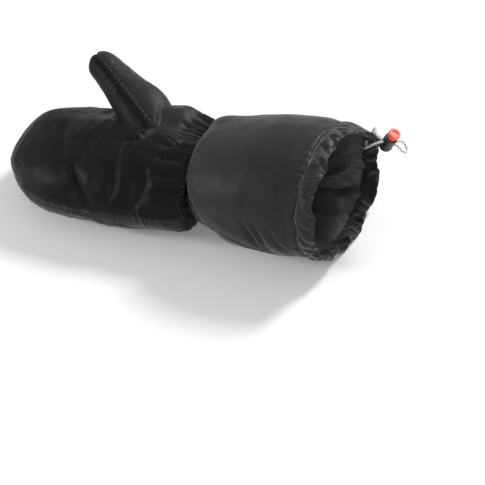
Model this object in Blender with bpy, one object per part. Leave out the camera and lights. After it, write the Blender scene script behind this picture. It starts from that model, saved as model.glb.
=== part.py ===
"""Down mitten with a gathered wrist, a long puffed gauntlet and a drawcord hem.

It lies on its back on the floor, palm up, in metres with +Z up. The fingertips point to -X,
the open cuff faces +X and the thumb side is +Y. The origin is on the floor, under the middle
of the fabric pieces' bounding box. Run it with: blender --background --python part.py
"""

import math

import bmesh
import bpy
import numpy as np
from mathutils import Matrix, Vector

MM = 0.001
COLLECTION = "down_mitten"
GAP = 0.3 * MM

# Main lengths along X, from the fingertips to the spout of the hem
HAND_LENGTH = 232 * MM
WRIST_BAND_WIDTH = 9 * MM
GAUNTLET_LENGTH = 146 * MM
HEM_WIDTH = 20 * MM
SPOUT_REACH = 22 * MM

# Outer sizes of the hand, and the stuffed thickness of its walls
HAND_HALF_WIDTH = 78 * MM
HAND_HEIGHT = 88 * MM
HAND_SEAM_HEIGHT = 36 * MM
HAND_CAP_LENGTH = 92 * MM
HAND_CAP_ROUNDING = 62 * MM
HAND_PALM_WALL = 20 * MM
HAND_BACK_WALL = 24 * MM
HAND_SIDE_WALL = 25 * MM
HAND_TIP_WALL = 30 * MM

# Outer sizes of the gauntlet and its wall, and how far the floor presses the stuffing flat
GAUNTLET_HALF_WIDTH = 80 * MM
GAUNTLET_HEIGHT = 126 * MM
GAUNTLET_MID_HEIGHT = 59 * MM
GAUNTLET_WALL = 16 * MM
FLOOR_PRESS = 8 * MM

# Thin cloth pieces
LINING_THICKNESS = 1.2 * MM
HEM_THICKNESS = 3.4 * MM
WRIST_BAND_THICKNESS = 7 * MM
WRIST_BAND_WAIST = 1.6 * MM

# Thumb: its middle line starts inside the hand, so that its hollow opens into the palm's.
# Both ends are placed out to the side, up, and along as a share of HAND_LENGTH from the wrist.
THUMB_BASE_ALONG = 0.2155
THUMB_BASE_OUT = 26 * MM
THUMB_BASE_UP = 56 * MM
THUMB_TIP_ALONG = 0.681
THUMB_TIP_OUT = 84 * MM
THUMB_TIP_UP = 118 * MM
THUMB_RADIUS = 31 * MM
THUMB_WALL = 8 * MM
THUMB_SEAM_NORMAL = (0.53, 0.74, 0.41)
THUMB_BEND = 1 * MM
THUMB_CAP_SHARE = 0.12
THUMB_ROOM_OVERRUN = 0.01

# Folds and gathers
CREASE_WIDTH = 10 * MM
CREASE_DEPTH = 5 * MM
WRIST_PLEATS = 28
WRIST_PLEAT_DEPTH = 2.8 * MM
WRIST_PLEAT_REACH = 16 * MM
HEM_RUFFLES = 14
HEM_RUFFLE_UNEVENNESS = 1.2
HEM_RUFFLE_DEPTH = 1.6 * MM
HEM_RIM_WAVES = 7
HEM_RIM_WAVE_REACH = 2.2 * MM
SPOUT_ANGLE = math.radians(33)
SPOUT_HALF_ANGLE = math.radians(34)
SPOUT_DROP = 11 * MM
HEM_DRAW_IN = 1 * MM

# Seam between the palm and the back: on the thumb side it climbs the hand's edge, from this
# far out to the side and over this width, and falls again over this length past the thumb
SEAM_CLIMB_START = 10 * MM
SEAM_CLIMB_WIDTH = 30 * MM
SEAM_CLIMB_FADE = 40 * MM
SEAM_MARGIN = 25 * MM
SEAM_SLOPE_STEP = 0.1 * MM

# Drawcord and cord lock
CORD_DIAMETER = 2.6 * MM
CORD_CLEARANCE = 0.3 * MM
CORD_POINT_SPACING = 2.2 * CORD_DIAMETER
STRAND_SPACING = 3.0 * MM
LOCK_LENGTH = 18 * MM
LOCK_DIAMETER = 13.6 * MM
LOCK_FLOOR = 2 * MM
LOCK_ROUNDING = 1.4 * MM
LOCK_CORD_HEIGHT = 10 * MM
STEM_DIAMETER = 9.2 * MM
STEM_CLEARANCE = 0.3 * MM
BUTTON_TRAVEL = 4 * MM
BUTTON_STOP_CLEARANCE = 0.5 * MM
BUTTON_HEAD_DIAMETER = 12.6 * MM
BUTTON_HEAD_THICKNESS = 3.4 * MM
BUTTON_ROUNDING = 0.8 * MM
BUTTON_DISH_DIAMETER = 7.6 * MM
BUTTON_DISH_DEPTH = 1.2 * MM
LOCK_AXIS = (0.60, -0.02, 0.80)
CORD_THROUGH_LOCK = (0.69, 0.51, -0.50)
LOCK_BEYOND_SPOUT = 9 * MM
LOCK_BESIDE_SPOUT = -9 * MM
LOCK_ABOVE_SPOUT = 10 * MM
ROUND_SIDES = 24

# How square a section is, from 2 for an ellipse
SECTION_EXPONENT = 2.2

# Mesh fineness
AROUND = 2 * WRIST_PLEATS
AROUND_HOLLOW = 28
AROUND_THUMB = 26
AROUND_THUMB_HOLLOW = 14
HAND_STRAIGHT_RINGS = 8
HAND_CAP_RINGS = 8
HAND_RING_SPREAD = 1.3
THUMB_STRAIGHT_RINGS = 6
THUMB_CAP_RINGS = 4
HOLLOW_STATIONS = (-0.10, 0.0, 0.10, 0.25, 0.50, 0.66, 0.77, 0.83, 0.86)
GAUNTLET_STATIONS = (0, 0.02, 0.05, 0.10, 0.17, 0.25, 0.35, 0.46, 0.58, 0.70, 0.81, 0.91, 1)
LINING_STATIONS = (0, 0.06, 0.16, 0.35, 0.55, 0.78, 1)
HEM_STATIONS = (0.0, 0.25, 0.5, 0.75, 1.0)
SEAM_STEPS_ALONG = 25
SEAM_STEPS_ACROSS = 31
CORD_STEPS = 24

# Stations of the hand. along: share of HAND_LENGTH from the wrist. half_width and shift:
# shares of HAND_HALF_WIDTH, shift being towards the thumb side. top: share of HAND_HEIGHT.
# mid: share of HAND_SEAM_HEIGHT. press: share of FLOOR_PRESS by which the floor presses the
# section flat, or by which it is lifted where negative.
HAND_COLUMNS = ("along", "half_width", "shift", "top", "mid", "press")
HAND_SECTIONS = (
    (0.00, 0.82, -0.03, 0.92, 1.22, -0.80),
    (0.06, 0.88, -0.03, 0.97, 1.15, -0.10),
    (0.16, 0.94, -0.02, 1.00, 1.07, 0.60),
    (0.32, 0.98, -0.01, 1.00, 1.01, 1.00),
    (0.55, 0.99, 0.02, 0.96, 1.00, 1.00),
    (0.78, 0.97, 0.08, 0.87, 0.97, 0.90),
    (1.00, 0.94, 0.20, 0.78, 0.94, 0.60),
)

# Stations of the gauntlet. along: share of GAUNTLET_LENGTH from the wrist band. half_width:
# share of GAUNTLET_HALF_WIDTH. top: share of GAUNTLET_HEIGHT. mid: share of
# GAUNTLET_MID_HEIGHT. press: share of FLOOR_PRESS. wall: share of GAUNTLET_WALL.
GAUNTLET_COLUMNS = ("along", "half_width", "top", "mid", "press", "wall")
GAUNTLET_SECTIONS = (
    (0.00, 0.68, 0.64, 0.80, -1.60, 0.50),
    (0.03, 0.75, 0.73, 0.86, -1.00, 0.72),
    (0.09, 0.82, 0.80, 0.92, -0.30, 0.92),
    (0.20, 0.89, 0.87, 0.97, 0.50, 1.00),
    (0.40, 0.96, 0.94, 1.00, 1.00, 1.00),
    (0.62, 1.00, 0.99, 1.00, 1.00, 0.90),
    (0.82, 1.01, 1.00, 1.00, 0.70, 0.70),
    (1.00, 0.96, 0.97, 0.98, 0.00, 0.34),
)

# Stations of the hand's hollow, as shares of HAND_LENGTH and of the sizes that the walls leave,
# the share of its length over which it closes, and how far it is open at its end
HOLLOW_COLUMNS = ("along", "half_width", "height")
HOLLOW_SECTIONS = (
    (-0.10, 0.80, 0.92),
    (0.00, 0.82, 0.92),
    (0.20, 0.96, 1.00),
    (0.50, 1.00, 1.00),
    (0.86, 0.92, 0.90),
)
HOLLOW_CAP_SHARE = 0.36
HOLLOW_END_OPEN = 0.15

# Stations of the thumb. along: share of its length. across and deep: shares of THUMB_RADIUS,
# across being at right angles to the seam between its two panels.
THUMB_COLUMNS = ("along", "across", "deep")
THUMB_SECTIONS = (
    (0.00, 1.10, 0.90),
    (0.30, 0.97, 0.86),
    (0.50, 0.80, 0.76),
    (0.75, 0.58, 0.62),
    (1.00, 0.40, 0.46),
)

# Creases pressed into the stuffed walls. start and end: share of the piece's length from the
# wrist, and the angle round the section in degrees from +Y over the top. width and depth:
# shares of CREASE_WIDTH and CREASE_DEPTH.
CREASE_COLUMNS = ("start_along", "start_angle", "end_along", "end_angle", "width", "depth")
HAND_CREASES = (
    (0.42, 62, 0.34, 128, 1.0, 1.0),
    (0.20, 95, 0.24, 150, 0.9, 0.7),
    (0.62, 110, 0.52, 160, 1.0, 0.7),
)
GAUNTLET_CREASES = (
    (0.28, 160, 0.40, 200, 0.9, 0.5),
    (0.58, 162, 0.68, 200, 0.9, 0.5),
)

# The cord's route in mm, from the origin on the floor: out of the hem's inner wall, through
# the lock, round the loop, back through the lock and into the hem's outer wall
CORD_ROUTE = (
    (184.5, 62.4, 75.0),
    (185.2, 55.7, 74.0),
    (188.5, 48.2, 77.2),
    (193.7, 41.1, 83.1),
    (200.2, 35.1, 90.0),
    (207.1, 31.4, 96.4),
    (213.8, 30.7, 100.8),
    (219.4, 34.1, 101.6),
    (222.6, 36.5, 99.2),
    (225.6, 38.8, 97.0),
    (228.8, 41.1, 94.7),
    (232.3, 41.6, 91.3),
    (235.5, 42.0, 86.6),
    (237.0, 45.5, 82.4),
    (236.0, 51.1, 81.8),
    (233.0, 54.1, 85.6),
    (230.7, 52.3, 90.5),
    (229.5, 47.8, 93.6),
    (227.6, 43.7, 95.6),
    (224.4, 41.3, 98.0),
    (221.4, 39.1, 100.2),
    (218.2, 36.7, 102.5),
    (214.1, 35.9, 105.9),
    (210.6, 39.0, 107.5),
    (207.7, 43.9, 107.5),
    (205.1, 48.4, 105.6),
    (202.6, 50.5, 102.0),
    (200.2, 48.0, 96.7),
)

# Colour and roughness of each material
FINISHES = {
    "shell_fabric": ((0.024, 0.024, 0.026, 1.0), 0.55),
    "lining_fabric": ((0.012, 0.012, 0.013, 1.0), 0.60),
    "cord_braid": ((0.020, 0.020, 0.020, 1.0), 0.70),
    "lock_plastic": ((0.030, 0.030, 0.032, 1.0), 0.40),
    "button_plastic": ((0.850, 0.100, 0.035, 1.0), 0.35),
}


def column(sections, names, name, at):
    """A table's column at the share `at`, by a monotone cubic through its rows."""
    x = np.array([row[0] for row in sections], float)
    y = np.array([row[names.index(name)] for row in sections], float)
    step = np.diff(x)
    rise = np.diff(y) / step
    slope = np.zeros(len(x))
    slope[0], slope[-1] = rise[0], rise[-1]
    same = rise[1:] * rise[:-1] > 0
    slope[1:-1][same] = 2 * rise[1:][same] * rise[:-1][same] / (rise[1:] + rise[:-1])[same]
    at = min(max(float(at), x[0]), x[-1])
    k = min(max(int(np.searchsorted(x, at, side="right")) - 1, 0), len(x) - 2)
    u = (at - x[k]) / step[k]
    value = (1 + 2 * u) * (1 - u) ** 2 * y[k] + u**2 * (3 - 2 * u) * y[k + 1]
    return float(value + step[k] * (u * (1 - u) ** 2 * slope[k] - u**2 * (1 - u) * slope[k + 1]))


def station(sections, names, at):
    """Every column of a table but the first, at the share `at`."""
    return [column(sections, names, name, at) for name in names[1:]]


def angles(count):
    """Angles round a section, starting at +Y and going over the top."""
    return 2 * math.pi * np.arange(count) / count


def rounding(share, exponent=2.0):
    """How far a rounded end has opened at this share of its length from the tip: 0 to 1."""
    left = max(0.0, 1 - min(1.0, share))
    return max(0.0, 1 - left**exponent) ** (1 / exponent)


def ring(x, half_width, shift, top, mid, bottom, floor, turn):
    """Points of one section across X: a rounded form, pressed flat where it meets `floor`."""
    c, s = np.cos(turn), np.sin(turn)
    y = shift + half_width * np.sign(c) * np.abs(c) ** (2 / SECTION_EXPONENT)
    lift = np.where(s > 0, top - mid, mid - bottom)
    z = mid + lift * np.sign(s) * np.abs(s) ** (2 / SECTION_EXPONENT)
    return np.stack([np.full_like(y, x), y, np.maximum(z, floor)], axis=1)


def crease_depth(creases, along, turn, length, radius):
    """How far the creases press in the points at this share and these angles."""
    depth = np.zeros_like(turn)
    here = np.stack([np.full_like(turn, along * length), turn * radius], axis=1)
    for crease in creases:
        row = dict(zip(CREASE_COLUMNS, crease))
        start = np.array([row["start_along"] * length, math.radians(row["start_angle"]) * radius])
        end = np.array([row["end_along"] * length, math.radians(row["end_angle"]) * radius])
        share = np.clip((here - start) @ (end - start) / np.sum((end - start) ** 2), 0, 1)
        away = np.linalg.norm(here - start - share[:, None] * (end - start), axis=1)
        depth += row["depth"] * CREASE_DEPTH * np.exp(-((away / (row["width"] * CREASE_WIDTH)) ** 2))
    return depth


def pushed(points, amount):
    """The ring's points moved away from its middle by `amount`, but not below its lowest."""
    middle = (points.min(0) + points.max(0)) / 2
    out = points - middle
    out[:, 0] = 0
    length = np.maximum(np.linalg.norm(out, axis=1, keepdims=True), 1e-9)
    moved = points + out / length * amount[:, None]
    moved[:, 2] = np.maximum(moved[:, 2], points[:, 2].min())
    return moved


TIP_X = -(HAND_LENGTH + WRIST_BAND_WIDTH + GAUNTLET_LENGTH + HEM_WIDTH + SPOUT_REACH) / 2
BAND_X = TIP_X + HAND_LENGTH
GAUNTLET_X = BAND_X + WRIST_BAND_WIDTH
STITCH_X = GAUNTLET_X + GAUNTLET_LENGTH


def hand_ring(along, count, pleated=True):
    """The hand's outer section at this share of its length from the wrist."""
    half_width, shift, top, mid, press = station(HAND_SECTIONS, HAND_COLUMNS, along)
    top, mid = top * HAND_HEIGHT, mid * HAND_SEAM_HEIGHT
    across = rounding((1 - along) * HAND_LENGTH / HAND_CAP_LENGTH, SECTION_EXPONENT)
    through = rounding((1 - along) * HAND_LENGTH / HAND_CAP_ROUNDING)
    turn = angles(count)
    points = ring(
        BAND_X - along * HAND_LENGTH,
        half_width * HAND_HALF_WIDTH * across,
        shift * HAND_HALF_WIDTH,
        mid + (top - mid) * through,
        mid,
        mid - (mid + press * FLOOR_PRESS) * through,
        0.0,
        turn,
    )
    if not pleated:
        return points
    pleat = np.cos(WRIST_PLEATS * turn) * WRIST_PLEAT_DEPTH / 2
    pleat *= math.exp(-along * HAND_LENGTH / WRIST_PLEAT_REACH)
    dent = crease_depth(HAND_CREASES, along, turn, HAND_LENGTH, HAND_HALF_WIDTH)
    return pushed(points, pleat - dent * across * through)


def gauntlet_ring(along, count, inset=0.0, pleated=False):
    """The gauntlet's section at this share of its length from the wrist band."""
    half_width, top, mid, press, _ = station(GAUNTLET_SECTIONS, GAUNTLET_COLUMNS, along)
    turn = angles(count)
    points = ring(
        GAUNTLET_X + along * GAUNTLET_LENGTH,
        half_width * GAUNTLET_HALF_WIDTH - inset,
        0.0,
        top * GAUNTLET_HEIGHT - inset,
        mid * GAUNTLET_MID_HEIGHT,
        -press * FLOOR_PRESS + inset,
        inset,
        turn,
    )
    if not pleated:
        return points
    pleat = np.cos(WRIST_PLEATS * turn) * WRIST_PLEAT_DEPTH / 2
    pleat *= math.exp(-along * GAUNTLET_LENGTH / WRIST_PLEAT_REACH)
    dent = crease_depth(GAUNTLET_CREASES, along, turn, GAUNTLET_LENGTH, GAUNTLET_HALF_WIDTH)
    return pushed(points, pleat - dent)


def gauntlet_wall(along):
    """The stuffed wall's thickness at this share of the gauntlet."""
    return GAUNTLET_WALL * column(GAUNTLET_SECTIONS, GAUNTLET_COLUMNS, "wall", along)


THUMB_BASE = (BAND_X - THUMB_BASE_ALONG * HAND_LENGTH, THUMB_BASE_OUT, THUMB_BASE_UP)
THUMB_TIP = (BAND_X - THUMB_TIP_ALONG * HAND_LENGTH, THUMB_TIP_OUT, THUMB_TIP_UP)
THUMB_LENGTH = math.dist(THUMB_BASE, THUMB_TIP)


def thumb_frame(share):
    """The thumb's middle point, its two cross directions and its axis at this share."""
    base, tip = np.array(THUMB_BASE), np.array(THUMB_TIP)
    axis = (tip - base) / THUMB_LENGTH
    across = np.array(THUMB_SEAM_NORMAL)
    across = across - across @ axis * axis
    across /= np.linalg.norm(across)
    deep = np.cross(axis, across)
    bow = THUMB_BEND * math.sin(math.pi * min(1.0, max(0.0, share)))
    return base + (tip - base) * share + across * bow, across, deep, axis


def thumb_ring(share, count, inset=0.0, end=1.0):
    """The thumb's section at this share, closing round towards the share `end`."""
    middle, across, deep, _ = thumb_frame(share)
    sizes = station(THUMB_SECTIONS, THUMB_COLUMNS, share)
    wide, thick = (size * THUMB_RADIUS - inset for size in sizes)
    cap = rounding((end - share) / THUMB_CAP_SHARE)
    turn = angles(count)
    sideways = np.outer(np.cos(turn), across) * wide * cap
    return middle + sideways + np.outer(np.sin(turn), deep) * thick * cap


def shift_to_middle():
    """The shift along Y that puts the origin under the middle of the outer forms."""
    stations = np.linspace(0, 1, 21)
    outer = [hand_ring(along, AROUND, pleated=False) for along in stations]
    outer += [gauntlet_ring(along, AROUND) for along in stations]
    outer += [thumb_ring(share, AROUND_THUMB) for share in stations]
    y = np.concatenate([points[:, 1] for points in outer])
    return Vector((0, -(y.min() + y.max()) / 2, 0))


ORIGIN_SHIFT = shift_to_middle()


def finish_object(name, mesh_data, collection, material=None):
    """A mesh object from a bmesh, shaded smooth and set about the part's origin."""
    bmesh.ops.recalc_face_normals(mesh_data, faces=mesh_data.faces)
    bmesh.ops.translate(mesh_data, verts=mesh_data.verts, vec=ORIGIN_SHIFT)
    mesh = bpy.data.meshes.new(name)
    mesh_data.to_mesh(mesh)
    mesh_data.free()
    mesh.shade_smooth()
    mesh.set_sharp_from_angle(angle=math.radians(40))
    obj = bpy.data.objects.new(name, mesh)
    collection.objects.link(obj)
    if material:
        mesh.materials.append(material)
    else:
        obj.hide_render = True
        obj.display_type = "WIRE"
    return obj


def loft(name, rings, collection, material=None, looped=False, tip=None):
    """A closed surface through equal rings: capped at its ends, or looped into a tube wall.

    `tip` is a point that closes the far end in place of a flat cap. Each four-sided patch is
    split along the same diagonal, so that a wall and the hollow beside it stay parallel.
    """
    mesh_data = bmesh.new()
    rows = [[mesh_data.verts.new(point) for point in points] for points in rings]
    pairs = list(zip(rows, rows[1:]))
    if looped:
        pairs.append((rows[-1], rows[0]))
    for low, high in pairs:
        for i in range(len(low)):
            j = (i + 1) % len(low)
            mesh_data.faces.new((low[i], low[j], high[j]))
            mesh_data.faces.new((low[i], high[j], high[i]))
    if not looped:
        mesh_data.faces.new(rows[0])
        if tip is None:
            mesh_data.faces.new(rows[-1])
        else:
            peak = mesh_data.verts.new(tip)
            for i in range(len(rows[-1])):
                mesh_data.faces.new((rows[-1][i], rows[-1][(i + 1) % len(rows[-1])], peak))
    return finish_object(name, mesh_data, collection, material)


def sheet_block(name, low, high, collection):
    """A closed block between two grids of points that have the same layout."""
    mesh_data = bmesh.new()
    sides = []
    for grid in (low, high):
        sides.append([[mesh_data.verts.new(point) for point in row] for row in grid])
    rows, cols = len(low), len(low[0])
    for side in sides:
        for i in range(rows - 1):
            for j in range(cols - 1):
                corners = (side[i][j], side[i + 1][j], side[i + 1][j + 1], side[i][j + 1])
                mesh_data.faces.new(corners)
    border = [(i, 0) for i in range(rows)] + [(rows - 1, j) for j in range(1, cols)]
    border += [(i, cols - 1) for i in range(rows - 2, -1, -1)]
    border += [(0, j) for j in range(cols - 2, 0, -1)]
    for (i, j), (k, m) in zip(border, border[1:] + border[:1]):
        mesh_data.faces.new((sides[0][i][j], sides[0][k][m], sides[1][k][m], sides[1][i][j]))
    return finish_object(name, mesh_data, collection)


def boolean(obj, operation, cutter):
    """A Boolean modifier with the exact solver."""
    modifier = obj.modifiers.new(f"{operation.lower()} {cutter.name}", "BOOLEAN")
    modifier.operation = operation
    modifier.solver = "EXACT"
    modifier.object = cutter


def surface_material(name, colour, roughness):
    """A Principled BSDF with one colour and roughness."""
    made = bpy.data.materials.new(name)
    made.use_nodes = True
    shader = made.node_tree.nodes["Principled BSDF"]
    shader.inputs["Base Color"].default_value = colour
    shader.inputs["Roughness"].default_value = roughness
    shader.inputs["Metallic"].default_value = 0.0
    made.diffuse_color = colour
    return made


def hand_shell(parts, cutters, fabric):
    """The palm's and the back's panels: one hollow stuffed form, split along the seam."""
    cap_start = 1 - HAND_CAP_LENGTH / HAND_LENGTH
    straight = [(i / HAND_STRAIGHT_RINGS) ** HAND_RING_SPREAD for i in range(HAND_STRAIGHT_RINGS)]
    stations = [cap_start * share for share in straight]
    for i in range(HAND_CAP_RINGS):
        turn = math.pi / 2 * i / HAND_CAP_RINGS
        stations.append(cap_start + (1 - cap_start) * math.sin(turn))
    rings = [hand_ring(along, AROUND) for along in stations]
    shift, mid = (column(HAND_SECTIONS, HAND_COLUMNS, name, 1.0) for name in ("shift", "mid"))
    tip = (TIP_X, shift * HAND_HALF_WIDTH, mid * HAND_SEAM_HEIGHT)
    hollow = hand_hollow(cutters)
    room = thumb_form(
        "thumb_room", cutters, inset=-GAP, start=-THUMB_ROOM_OVERRUN, end=1 + THUMB_ROOM_OVERRUN
    )
    for name, block in zip(("palm_panel", "back_panel"), palm_seam_blocks(cutters)):
        panel = loft(name, rings, parts, fabric, tip=tip)
        boolean(panel, "DIFFERENCE", hollow)
        boolean(panel, "INTERSECT", block)
        boolean(panel, "DIFFERENCE", room)
    return hollow


def hand_hollow(cutters):
    """The space inside the hand, which runs out through the wrist."""
    half_width = HAND_HALF_WIDTH - HAND_SIDE_WALL
    top = HAND_HEIGHT - HAND_PALM_WALL
    middle = (top + HAND_BACK_WALL) / 2
    half_height = (top - HAND_BACK_WALL) / 2
    reach = (1 - HAND_TIP_WALL / HAND_LENGTH) / HOLLOW_SECTIONS[-1][0]
    rings = []
    for share in HOLLOW_STATIONS:
        wide, tall = station(HOLLOW_SECTIONS, HOLLOW_COLUMNS, share)
        along = share * reach
        shift = column(HAND_SECTIONS, HAND_COLUMNS, "shift", along) * HAND_HALF_WIDTH
        to_end = HOLLOW_SECTIONS[-1][0] - share
        cap = max(HOLLOW_END_OPEN, rounding(to_end / HOLLOW_CAP_SHARE))
        rings.append(
            ring(
                BAND_X - along * HAND_LENGTH,
                half_width * wide * cap,
                shift,
                middle + half_height * tall * cap**0.5,
                middle,
                middle - half_height * tall * cap**0.5,
                0.0,
                angles(AROUND_HOLLOW),
            )
        )
    return loft("hand_hollow", rings, cutters)


def palm_seam_height(x, y):
    """Height of the sheet that splits the palm from the back of the hand.

    On the thumb side it climbs over the edge, between the wrist and the thumb.
    """
    out = min(1.0, max(0.0, (y - SEAM_CLIMB_START) / SEAM_CLIMB_WIDTH))
    behind = min(1.0, max(0.0, (x - THUMB_BASE[0]) / SEAM_CLIMB_FADE + 1))
    climb = out**2 * (3 - 2 * out) * behind**2 * (3 - 2 * behind)
    return HAND_SEAM_HEIGHT + climb * HAND_HEIGHT


def palm_seam_blocks(cutters):
    """Two blocks that meet along the palm's seam with a gap: above it and below it."""
    xs = np.linspace(TIP_X - SEAM_MARGIN, BAND_X + SEAM_MARGIN, SEAM_STEPS_ALONG)
    reach = HAND_HALF_WIDTH + SEAM_MARGIN
    ys = np.linspace(-reach, reach + SEAM_MARGIN, SEAM_STEPS_ACROSS)
    step = SEAM_SLOPE_STEP
    roof = HAND_SEAM_HEIGHT + 2 * HAND_HEIGHT
    grids = {"seam_up": [], "seam_down": [], "roof": [], "ground": []}
    for x in xs:
        rows = {name: [] for name in grids}
        for y in ys:
            rise_x = palm_seam_height(x + step, y) - palm_seam_height(x - step, y)
            rise_y = palm_seam_height(x, y + step) - palm_seam_height(x, y - step)
            normal = Vector((-rise_x, -rise_y, 2 * step)).normalized()
            seam = Vector((x, y, palm_seam_height(x, y)))
            rows["seam_up"].append(seam + normal * GAP / 2)
            rows["seam_down"].append(seam - normal * GAP / 2)
            rows["roof"].append(Vector((x, y, roof)) + normal * GAP / 2)
            rows["ground"].append(Vector((x, y, -HAND_HEIGHT)) - normal * GAP / 2)
        for name in grids:
            grids[name].append(rows[name])
    return (
        sheet_block("above_seam", grids["seam_up"], grids["roof"], cutters),
        sheet_block("below_seam", grids["seam_down"], grids["ground"], cutters),
    )


def thumb_form(name, collection, inset=0.0, start=0.0, end=1.0, count=AROUND_THUMB, finish=None):
    """The thumb's form, made smaller by `inset`, as a closed solid."""
    cap_start = end - THUMB_CAP_SHARE
    shares = list(np.linspace(start, cap_start, THUMB_STRAIGHT_RINGS, endpoint=False))
    for i in range(THUMB_CAP_RINGS):
        shares.append(cap_start + THUMB_CAP_SHARE * math.sin(math.pi / 2 * i / THUMB_CAP_RINGS))
    rings = [thumb_ring(share, count, inset, end) for share in shares]
    return loft(name, rings, collection, finish, tip=tuple(thumb_frame(end)[0]))


def thumb_panels(parts, cutters, fabric, palm_hollow):
    """The thumb's two panels, hollow, split along a seam that runs over the tip."""
    hollow = thumb_form(
        "thumb_hollow",
        cutters,
        inset=THUMB_WALL,
        start=-0.05,
        end=1 - THUMB_WALL / THUMB_LENGTH,
        count=AROUND_THUMB_HOLLOW,
    )
    for name, side in (("thumb_palm_panel", -1), ("thumb_back_panel", 1)):
        near, away = [], []
        for share in np.linspace(-0.5, 1.5, 11):
            middle, across, deep, _ = thumb_frame(share)
            edge = [middle + across * side * GAP / 2 + deep * THUMB_LENGTH * k for k in (-1, 1)]
            near.append(edge)
            away.append([point + across * side * THUMB_LENGTH for point in edge])
        block = sheet_block(f"{name}_side", near, away, cutters)
        panel = thumb_form(name, parts, finish=fabric)
        boolean(panel, "DIFFERENCE", hollow)
        boolean(panel, "DIFFERENCE", palm_hollow)
        boolean(panel, "INTERSECT", block)


def wrist_band(parts, fabric):
    """The gathered band between the hand and the gauntlet: a short pleated tube wall."""
    hand_end = hand_ring(0.0, AROUND, pleated=False)
    cuff_end = gauntlet_ring(0.0, AROUND)
    pleat = np.cos(WRIST_PLEATS * angles(AROUND)) * WRIST_PLEAT_DEPTH / 2
    outer, inner = [], []
    for share in (0.0, 0.5, 1.0):
        points = hand_end * (1 - share) + cuff_end * share
        points[:, 0] = BAND_X + GAP + share * (WRIST_BAND_WIDTH - 2 * GAP)
        outer.append(pushed(points, pleat - WRIST_BAND_WAIST * math.sin(math.pi * share)))
        inner.append(pushed(points, np.full(AROUND, -WRIST_BAND_THICKNESS)))
    loft("wrist_band", outer + inner[::-1], parts, fabric, looped=True)


def gauntlet(parts, cutters, fabric):
    """The gauntlet's stuffed wall, puffed over the wrist and thin at the hem."""
    rings = [gauntlet_ring(share, AROUND, pleated=True) for share in GAUNTLET_STATIONS]
    obj = loft("gauntlet", rings, parts, fabric)
    hollow = [gauntlet_ring(share, AROUND_HOLLOW, gauntlet_wall(share)) for share in LINING_STATIONS]
    first, last = hollow[0].copy(), hollow[-1].copy()
    first[:, 0] -= HEM_WIDTH
    last[:, 0] += HEM_WIDTH
    boolean(obj, "DIFFERENCE", loft("gauntlet_hollow", [first, *hollow, last], cutters))


def cuff_lining(parts, lining):
    """The thin sleeve inside the gauntlet, from the wrist to the hem."""
    walls = []
    for inset in (GAP, GAP + LINING_THICKNESS):
        rings = [
            gauntlet_ring(share, AROUND_HOLLOW, gauntlet_wall(share) + inset)
            for share in LINING_STATIONS
        ]
        walls.append(rings)
    loft("cuff_lining", walls[0] + walls[1][::-1], parts, lining, looped=True)


def spout_share(turn):
    """How much the hem is drawn out at each angle: 1 at the spout's middle, 0 away from it."""
    away = np.abs(np.angle(np.exp(1j * (turn - SPOUT_ANGLE)))) / SPOUT_HALF_ANGLE
    return np.cos(np.minimum(away, 1) * math.pi / 2) ** 2


def hem_ring(share, inset, count=AROUND):
    """The hem's section at this share from the stitch line to the rim, drawn into a spout."""
    turn = angles(count)
    points = gauntlet_ring(1.0, count, inset=inset)
    uneven = HEM_RUFFLE_UNEVENNESS * np.sin(3 * turn)
    ruffle = np.sin(HEM_RUFFLES * turn + uneven) * HEM_RUFFLE_DEPTH
    points = pushed(points, (ruffle - HEM_DRAW_IN) * share)
    spout = spout_share(turn) * share**1.5
    wave = (np.sin(HEM_RIM_WAVES * turn) - 1) * HEM_RIM_WAVE_REACH
    wave *= (1 - spout_share(turn)) * share
    points[:, 0] = STITCH_X + GAP + share * (HEM_WIDTH - GAP) + spout * SPOUT_REACH + wave
    return pushed(points, -spout * SPOUT_DROP)


def hem_casing(parts, fabric):
    """The folded casing that holds the drawcord."""
    outer = [hem_ring(share, 0.0) for share in HEM_STATIONS]
    inner = [hem_ring(share, HEM_THICKNESS) for share in HEM_STATIONS]
    loft("hem_casing", outer + inner[::-1], parts, fabric, looped=True)


def lock_matrix():
    """Places the lock's own frame: Z out of the button, Y along the cord strands."""
    z = Vector(LOCK_AXIS).normalized()
    y = Vector(CORD_THROUGH_LOCK)
    y = (y - y.dot(z) * z).normalized()
    x = y.cross(z)
    spout = hem_ring(1.0, HEM_THICKNESS / 2, 360)
    tip = Vector(spout[np.argmax(spout[:, 0])])
    middle = tip + Vector((LOCK_BEYOND_SPOUT, LOCK_BESIDE_SPOUT, LOCK_ABOVE_SPOUT))
    turn = Matrix((x, y, z)).transposed().to_4x4()
    return Matrix.Translation(middle) @ turn @ Matrix.Translation((0, 0, -LOCK_CORD_HEIGHT))


def add_cylinder(mesh_data, radius, low, high, place):
    """A capped cylinder along the lock's axis, between two heights."""
    middle = Matrix.Translation((0, 0, (low + high) / 2))
    bmesh.ops.create_cone(
        mesh_data,
        cap_ends=True,
        segments=ROUND_SIDES,
        radius1=radius,
        radius2=radius,
        depth=high - low,
        matrix=place @ middle,
    )


def cylinder(name, radius, low, high, place, collection, material=None, rounded=0.0):
    """A cylinder along the lock's axis, its rims rounded by `rounded`."""
    mesh_data = bmesh.new()
    add_cylinder(mesh_data, radius, low, high, place)
    if rounded:
        rims = [e for e in mesh_data.edges if any(len(f.verts) > 4 for f in e.link_faces)]
        bmesh.ops.bevel(
            mesh_data, geom=rims, offset=rounded, segments=2, profile=0.5, affect="EDGES"
        )
    return finish_object(name, mesh_data, collection, material)


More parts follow.
